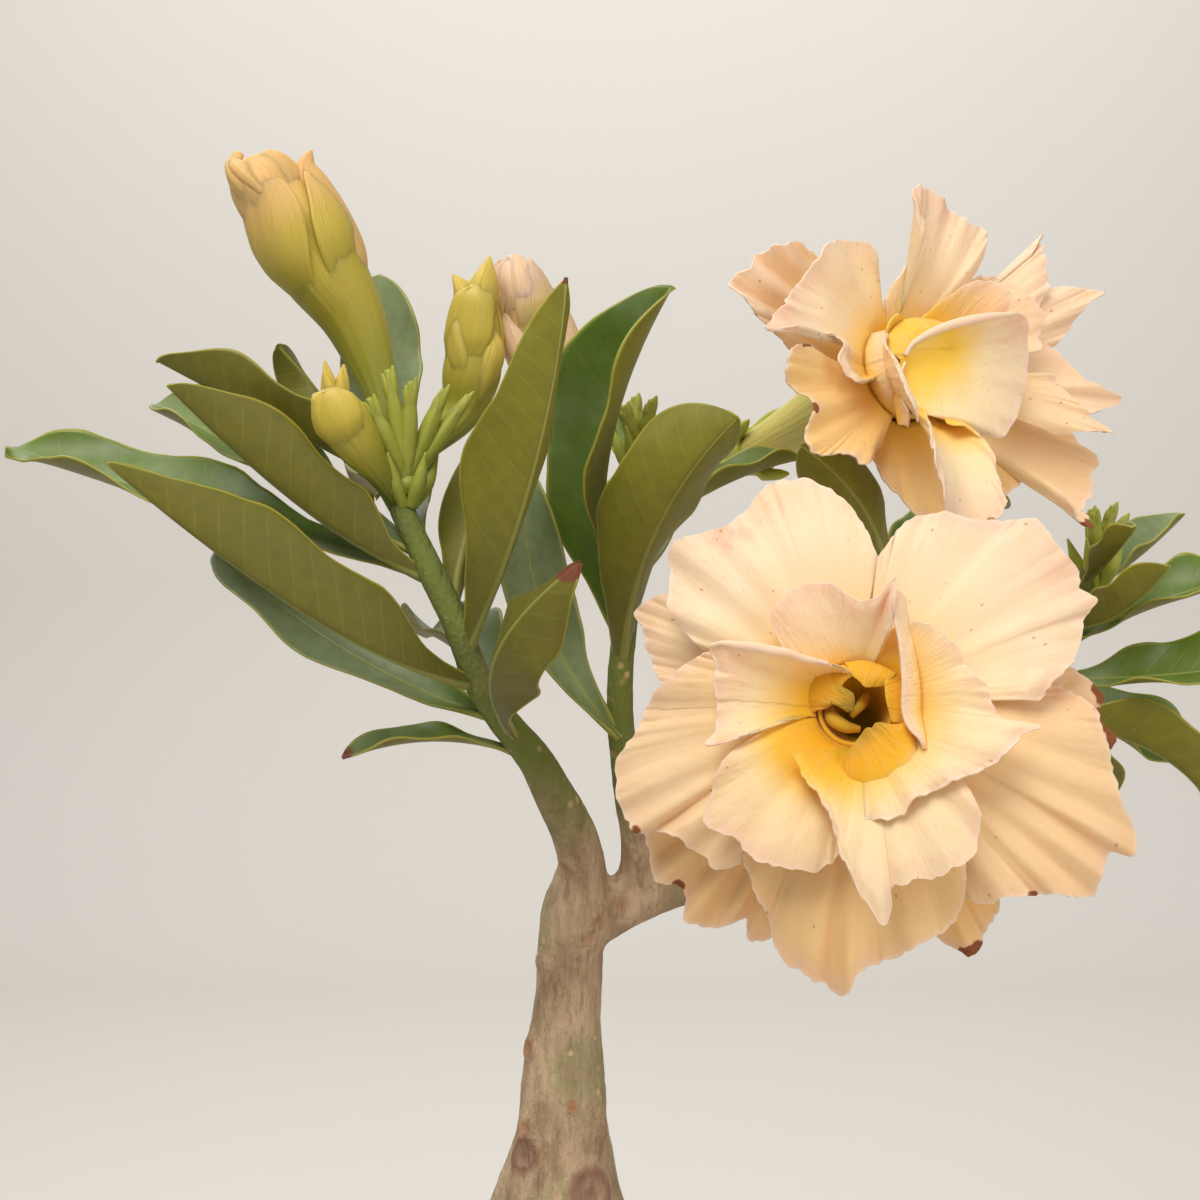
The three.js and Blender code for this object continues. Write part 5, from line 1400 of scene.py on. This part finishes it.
class Whorl:
    """One ring of a bloom's petals, with its cup, and the mesh that they are gathered in."""

    def __init__(self, bloom_name, order, row):
        self.bloom_name = bloom_name
        self.bloom = BLOOMS[bloom_name]
        self.order = order
        self.name, self.rise, self.tip, self.reach, self.sunk = row
        self.place = bloom_place(self.bloom)
        self.mouth = CUP_MOUTH - order * (CUP_WALL + GAP)
        self.shape = Shape()

    def values(self, x, y, rim, seed, warm=0.0, pale=0.0):
        """What the petals' material reads: distances in millimetres, marks, and a shade for each lobe."""
        radius, turn = np.hypot(x, y), np.arctan2(y, x)
        toward_gold = np.maximum(0, np.cos(turn - math.radians(self.bloom["gold_side"])))
        dry = spots_at(x, y, DRY_SPOTS[self.bloom_name], self.name)
        return {
            "reach": radius * (1 - GOLD_LEAN * toward_gold * smoothstep(26, 12, radius)) + pale,
            "rim": rim,
            "fan": turn,
            "shade": np.full_like(x, seed * SHADE_STEP),
            "warm": warm * smoothstep(6, 16, radius),
            "dry": dry * smoothstep(DRY_WIDTH, DRY_WIDTH / 3, rim),
            "blush": spots_at(x, y, PINK_SPOTS[self.bloom_name], self.name),
        }

    def add_lobe(self, lobe, seed):
        """A petal from its foot on the cup to its margin, frilled, pleated and finely toothed there."""
        first, last, warm, margin, *rolled = lobe
        start = self.mouth - CUP_WALL
        size = max(point[1] for point in margin) - start
        small = min(1, size / 20) * self.bloom["crumple"]
        length = margin_line(margin, 2)[1]
        rows, cols = max(12, round(size / LOBE_CELL[0])), max(24, round(length / LOBE_CELL[1]))
        line = margin_line(margin, cols + 1)[0]
        turn = np.radians(np.linspace(first, last, cols + 1))
        feet = start * np.stack([np.cos(turn), np.sin(turn)])
        s = np.linspace(0, length, cols + 1)
        teeth = sum(depth * wander(s / step, seed + k) for k, (step, depth) in enumerate(TEETH))
        grown = 1 + teeth * small / np.maximum(np.hypot(line[:, 0], line[:, 1]), 5)
        pleated = smoothstep(-0.2, 0.5, wander(s / 9, seed + 3))
        wide = np.hypot(line[:, 0] - feet[0], line[:, 1] - feet[1])

        def flat_at(t):
            return [foot + (end * grown - foot) * t for foot, end in zip(feet, line.T)]

        def point_at(t, u):
            x, y = flat_at(t)
            share = (np.hypot(x, y) - start) / (self.reach - start)
            climb = self.rise * share - (self.rise - self.tip) * share ** 2
            frill = sum(
                depth * wander(s / step + 0.4 * t, seed + 5 + k) * t ** power
                for k, (step, depth, power) in enumerate(FRILLS)
            )
            pleats = PLEAT * pleated * wander(s / PLEAT_STEP, seed + 9) * t ** PLEAT_SHAPE
            crumple = 0.5 * wander(x / 6 + 40, seed + 10) * wander(y / 6 + 40, seed + 11) * t
            lifted = line[:, 2] * t ** LIFT_SHAPE * (LIP_RISE - LIP_FALL * smoothstep(0.84, 1, t))
            z = self.order * CUP_STEP - LOBE_SINK + climb + lifted + (frill + pleats + crumple) * small
            return self.place(np.stack([x, y, z], axis=-1))

        def values_at(t, u):
            # A pale lobe seems further out, so it is less golden: partly its own colour, partly painted
            # light.
            pale = PALE_REACH * max(0, -warm) * np.sqrt(t)
            return self.values(*flat_at(t), wide * (1 - t), seed, max(0, warm), pale)

        def thickness_at(t, u):
            return PETAL_FOOT + (PETAL_MARGIN - PETAL_FOOT) * t

        sheet(self.shape, rows, cols, point_at, thickness_at, values_at)
        for begin, end, radius in rolled:
            edge = point_at(np.ones((1, cols + 1)), None)[0]
            self.add_roll(edge[round(begin * cols):round(end * cols)], radius)

    def add_flap(self, flap, seed):
        """A fold of a petal from its foot in the throat to its free margin."""
        foot, margin, rise, paler, pale, *bowed = flap
        bow, roll = bowed or ([0, 0], 0)
        length = margin_line(margin, 2)[1]
        cols = max(30, round(length / FLAP_CELL[1]))
        foot, margin = margin_line(foot, cols + 1)[0], margin_line(margin, cols + 1)[0]
        high = np.linalg.norm(margin - foot, axis=1)
        s = np.linspace(0, length, cols + 1)

        def inner_at(t):
            points = foot + (margin - foot) * t[..., None]
            bowing = np.sin(math.pi * t ** 0.6) * (1 - s / length) ** 2
            return points + bowing[..., None] * [*bow, 0]

        def point_at(t, u):
            points = inner_at(t)
            curl = 0.4 * wander(s / 2.5, seed) * t ** 2 + 0.5 * wander(s / 6 + t, seed + 1) * t
            points[..., 2] += rise * np.sin(math.pi * t) + curl
            return self.place(points)

        def values_at(t, u):
            x, y, _ = np.moveaxis(inner_at(t), -1, 0)
            return self.values(x, y, high * (1 - t), seed, 0, paler * t + pale * np.sqrt(t))

        def thickness_at(t, u):
            return PETAL_FOOT + (FLAP_MARGIN - PETAL_FOOT) * t

        rows = max(16, round(max(high) / FLAP_CELL[0]))
        sheet(self.shape, rows, cols, point_at, thickness_at, values_at)
        if roll:
            shares = np.repeat(np.linspace(0, 1, ROLL_POINTS)[:, None], cols + 1, axis=1)
            self.add_roll(point_at(shares, None)[:, 0], roll)

    def add_roll(self, points, radius):
        """A rolled petal margin: a thin limb along the points that tapers to both ends."""
        shares = np.linspace(0, 1, ROLL_POINTS)
        places = points[np.round(shares * (len(points) - 1)).astype(int)]
        thick = radius * np.sin(np.clip(shares, ROLL_TAPER, 1 - ROLL_TAPER) * math.pi) ** 0.5
        limb(self.shape, np.column_stack([places, thick]), sides=16, steps=60, **ROLL_SHADE)

    def add_cup(self):
        """The funnel below. The outermost one is also the corolla tube, a sunk one is ragged."""
        mouth, order, sunk = self.mouth, self.order, self.sunk
        depth = CUP_DEPTH - order * (CUP_WALL + GAP)
        top = order * CUP_STEP - LOBE_SINK + PETAL_FOOT / 2
        floor = mouth * CUP_FLOOR
        foot = TUBE if order == 0 else [[floor, -depth]]
        wall = [[mouth, top - 0.5], [mouth - CUP_WALL / 2, top], [mouth - CUP_WALL, top - 0.5]]
        inside = [[floor - CUP_WALL / 2, CUP_WALL - depth]]
        outline = rounded(foot + wall + inside, 3.0, 5)

        def shaped(points):
            turn = np.arctan2(points[:, 1], points[:, 0]) / math.pi + 1
            high = smoothstep(-3, 7, points[:, 2]) * (sunk > 0)
            edge = wander(turn * 4, CUP_SEED) * np.sin(turn * math.pi / 2) ** 0.5
            points[:, :2] *= (1 + high * 0.04 * edge)[:, None]
            points[:, 2] -= high * (sunk + 0.5 * edge)
            return self.place(points)

        turned(
            self.shape, [[0, foot[0][1]], *outline, [0, CUP_WALL - depth]], 96, shaped,
            reach=lambda points: np.minimum(np.hypot(points[:, 0], points[:, 1]), 7.5),
            rim=lambda points: np.full(len(points), 12.0),
            fan=lambda points: np.arctan2(points[:, 1], points[:, 0]),
            tube=lambda points: smoothstep(-1, -7, points[:, 2]) * (order == 0),
            deep=lambda points: smoothstep(6, 1, points[:, 2]) * (order == 3),
        )


def make_bloom(name, look):
    for order, row in enumerate(WHORLS[name]):
        whorl = Whorl(name, order, row)
        key = f"{name}_{whorl.name}"
        seed = BLOOMS[name]["seed"] + SEED_STEP * order
        whorl.add_cup()
        for k, lobe in enumerate(LOBES.get(key, [])):
            whorl.add_lobe(lobe, seed + 13 * k)
        for k, flap in enumerate(FLAPS.get(key, [])):
            whorl.add_flap(flap, seed + 3 * k)
        for stamen in STAMENS.get(key, []):
            path = [[*whorl.place(spot), radius] for *spot, radius in stamen]
            limb(whorl.shape, path, sides=12, steps=24, **STAMEN_SHADE)
        piece(f"petals_{key}", whorl.shape, look, "petal", f"bloom_{key}")


def make_calyx(name, look):
    """The stalk, the calyx round the foot of the tube, and its sepals, in one skin."""
    place = bloom_place(BLOOMS[name])
    rim = CALYX_DEPTH - TUBE_LENGTH
    below = place([0, 0, -TUBE_LENGTH - STALK_BEND])
    start = np.array(BLOOMS[name]["stalk"], float)
    middle = start + (below - start) * STALK_WAIST[0]
    path = [
        [*start, STALK_RADIUS],
        [*middle, STALK_WAIST[1]],
        [*below, STALK_RADIUS],
        [*place([0, 0, -TUBE_LENGTH - CALYX_FOOT[0]]), CALYX_FOOT[1]],
        [*place([0, 0, rim]), CALYX_RADIUS],
    ]
    shape = Shape()
    limb(shape, path, sides=32, steps=60)
    for k in range(SEPALS):
        turn = FULL_TURN * k / SEPALS
        out = np.array([math.cos(turn), math.sin(turn), 0])
        sepal = [
            [*place((CALYX_RADIUS + away) * out + [0, 0, rim + up]), radius] for away, up, radius in SEPAL
        ]
        limb(shape, sepal, sides=16, steps=16)
    title = f"calyx_{name}_skin"
    piece(title, fused(shape, title, CALYX_VOXEL, 4), look, "stalk", f"calyx_{name}")


# ---------------------------------------------------------------- buds

def bud_surface(path, steps=120):
    """A function to the point at a share of the bud's path and an angle, some distance off its skin."""
    centres, radii, tangents, normals, binormals = spine(path, steps)
    length = np.sum(np.linalg.norm(np.diff(centres, axis=0), axis=1))

    def reach(share, angle, stand):
        place = np.clip(share, 0, 1) * steps
        low = np.minimum(place.astype(int), steps - 1)
        w = (place - low)[..., None]

        def between(values):
            return values[low] * (1 - w) + values[low + 1] * w

        out = between(radii[:, None])[..., 0] + stand
        point = between(centres) + between(tangents) * (np.maximum(share - 1, 0) * length)[..., None]
        point = point + between(normals) * (np.cos(angle) * out)[..., None]
        return point + between(binormals) * (np.sin(angle) * out)[..., None]

    return reach


def add_bud_petal(shape, bud, petal, seed):
    """A petal that winds round the head of a bud, close to its skin."""
    foot, tip, angle, half, stand = petal
    reach = bud_surface(bud["path"])

    def point_at(t, u):
        wide = BUD_PETAL_LEAST + half * blade_outline(t, BUD_PETAL_FOOT, 0.5, 2)
        turn = np.radians(angle + bud["swirl"] * t + wide * u)
        sink = BUD_PETAL_SINK * np.maximum(0, 1 - t / BUD_PETAL_ROOT)
        crease = 0.3 * wander(u * 3 + t * 2, seed) * t
        return reach(foot + (tip - foot) * t, turn, BUD_PETAL_LIFT - sink + stand * t * t + crease)

    def thickness_at(t, u):
        return BUD_PETAL_THICK - BUD_PETAL_THINNING * t

    def values_at(t, u):
        along = foot + (tip - foot) * t
        return {"along": along, "around": u * 2, "ripe": np.full_like(t, bud["ripe"]), "furled": t ** 3}

    sheet(shape, 28, 20, point_at, thickness_at, values_at)


def make_bud(name, bud, look):
    def ribs(share, turn):
        grown = smoothstep(0.35, 0.75, share)
        return 0.18 * np.cos(5 * turn + 2.5 * share) * grown + 0.08 * np.cos(13 * turn)

    def creases(share, turn):
        return FOLD_CREASE * np.sin(3 * turn + 4 * share) * np.sin(math.pi * share)

    shape = Shape()
    limb(shape, bud["path"], sides=48, steps=90, swell=ribs, ripe=bud["ripe"], furled=0.0)
    for fold in bud["folds"]:
        limb(shape, fold, sides=32, steps=40, swell=creases, ripe=bud["ripe"], furled=1.0)
    for k, petal in enumerate(bud["petals"]):
        add_bud_petal(shape, bud, petal, 40 + k)
    piece(f"bud_skin_{name}", shape, look, "bud", f"bud_{name}")


def make_cluster(name, cluster, look):
    """Small pointed buds with two horns each, and bracts, round one heart."""
    shape = Shape()
    at = np.array(cluster["at"], float)
    heart = [[*(at - [0, 0, 2]), 1.2], [*at, CLUSTER_HEART], [*(at + [0, 0, 2]), 0.8]]
    limb(shape, heart, sides=20, steps=16)
    for tip in np.array(cluster["tips"], float):
        middle = at + (tip - at) * SMALL_BUD_WIDEST
        path = [[*spot, radius] for spot, radius in zip((at, middle, tip), SMALL_BUD_RADII)]
        limb(shape, path, sides=20, steps=24, swell=lambda share, turn: 0.12 * np.cos(5 * turn) * share)
        root = at + (tip - at) * HORN_ROOT
        for side in (-1, 1):
            end = tip + np.array([side * HORN_SPREAD, 0, side * HORN_STEP])
            horn = [[*root, 1.1], [*(root + (end - root) * 0.6), 0.8], [*end, 0.2]]
            limb(shape, horn, sides=14, steps=14)
    for k in range(BRACTS):
        turn = FULL_TURN * (k + 0.3) / BRACTS
        out = np.array([math.cos(turn), math.sin(turn), 0])
        foot, tip = at + out - [0, 0, 4], at + 5.5 * out + [0, 0, 5]
        limb(shape, [[*foot, 0.9], [*(at + 3.5 * out), 1.3], [*tip, 0.2]], sides=16, steps=24)
    piece(f"bud_tips_{name}", shape, look, "stalk", f"bud_cluster_{name}")


# ---------------------------------------------------------------- studio

def make_camera():
    data = bpy.data.cameras.new("camera")
    data.lens = CAMERA_LENS
    data.sensor_width = CAMERA_SENSOR
    data.clip_start = 0.01
    camera = link("camera", data)
    camera.location = Vector(CAMERA_AT) * MM
    camera.rotation_euler = (math.pi / 2, 0, 0)
    bpy.context.scene.camera = camera


def make_backdrop():
    """A pale floor that runs up into a pale wall far behind the plant, in one sweep."""
    bend = [
        [BACKDROP_NEAR + BACKDROP_BEND * math.sin(a), BACKDROP_BEND * (1 - math.cos(a))]
        for a in np.linspace(0, math.pi / 2, 24)
    ]
    rows = [[-BACKDROP_HALF, 0], *bend, [BACKDROP_NEAR + BACKDROP_BEND, BACKDROP_HALF]]
    shape = Shape()
    points = [[x, y, z] for y, z in rows for x in (-BACKDROP_HALF, BACKDROP_HALF)]
    shape.add(points, [grid_faces(len(rows) - 1, 1)])
    sweep = link("backdrop", shape.mesh("backdrop"))
    sweep.data.materials.append(paper_look())


def make_light(name, at, target, size, power, colour):
    data = bpy.data.lights.new(name, "AREA")
    data.size = size * MM
    data.energy = power
    data.color = colour
    light = link(name, data)
    light.location = Vector(at) * MM
    light.rotation_euler = (Vector(target) - Vector(at)).to_track_quat("-Z", "Y").to_euler()


def make_world():
    world = bpy.data.worlds.new("studio")
    world.use_nodes = True
    background = world.node_tree.nodes["Background"]
    background.inputs["Color"].default_value = WORLD_COLOUR
    background.inputs["Strength"].default_value = WORLD_STRENGTH
    bpy.context.scene.world = world
    bpy.context.scene.view_settings.view_transform = "Standard"


# ---------------------------------------------------------------- the whole scene

def main():
    make_camera()
    make_backdrop()
    for name, row in LIGHTS.items():
        make_light(name, *row)
    make_world()
    make_pot(terracotta_look())
    soil = soil_look()
    make_soil(soil)
    make_grains(soil)
    make_trunk(bark_look())
    make_leaves(leaf_look())
    golden = [(0.0, tint(150, 132, 24)), (0.1, tint(238, 172, 12)), (0.2, tint(249, 192, 44))]
    lemon = [(0.0, tint(150, 140, 40)), (0.1, tint(240, 196, 44)), (0.2, tint(250, 204, 74))]
    petals = {
        "front": petal_look("petal_skin_front", golden, tint(244, 196, 176)),
        "back": petal_look("petal_skin_back", lemon, tint(246, 204, 182)),
    }
    stalk = stalk_look()
    for name in BLOOMS:
        make_bloom(name, petals[name])
        make_calyx(name, stalk)
    bud_skin = bud_look()
    for name, bud in BUDS.items():
        make_bud(name, bud, bud_skin)
    for name, cluster in CLUSTERS.items():
        make_cluster(name, cluster, stalk)


main()
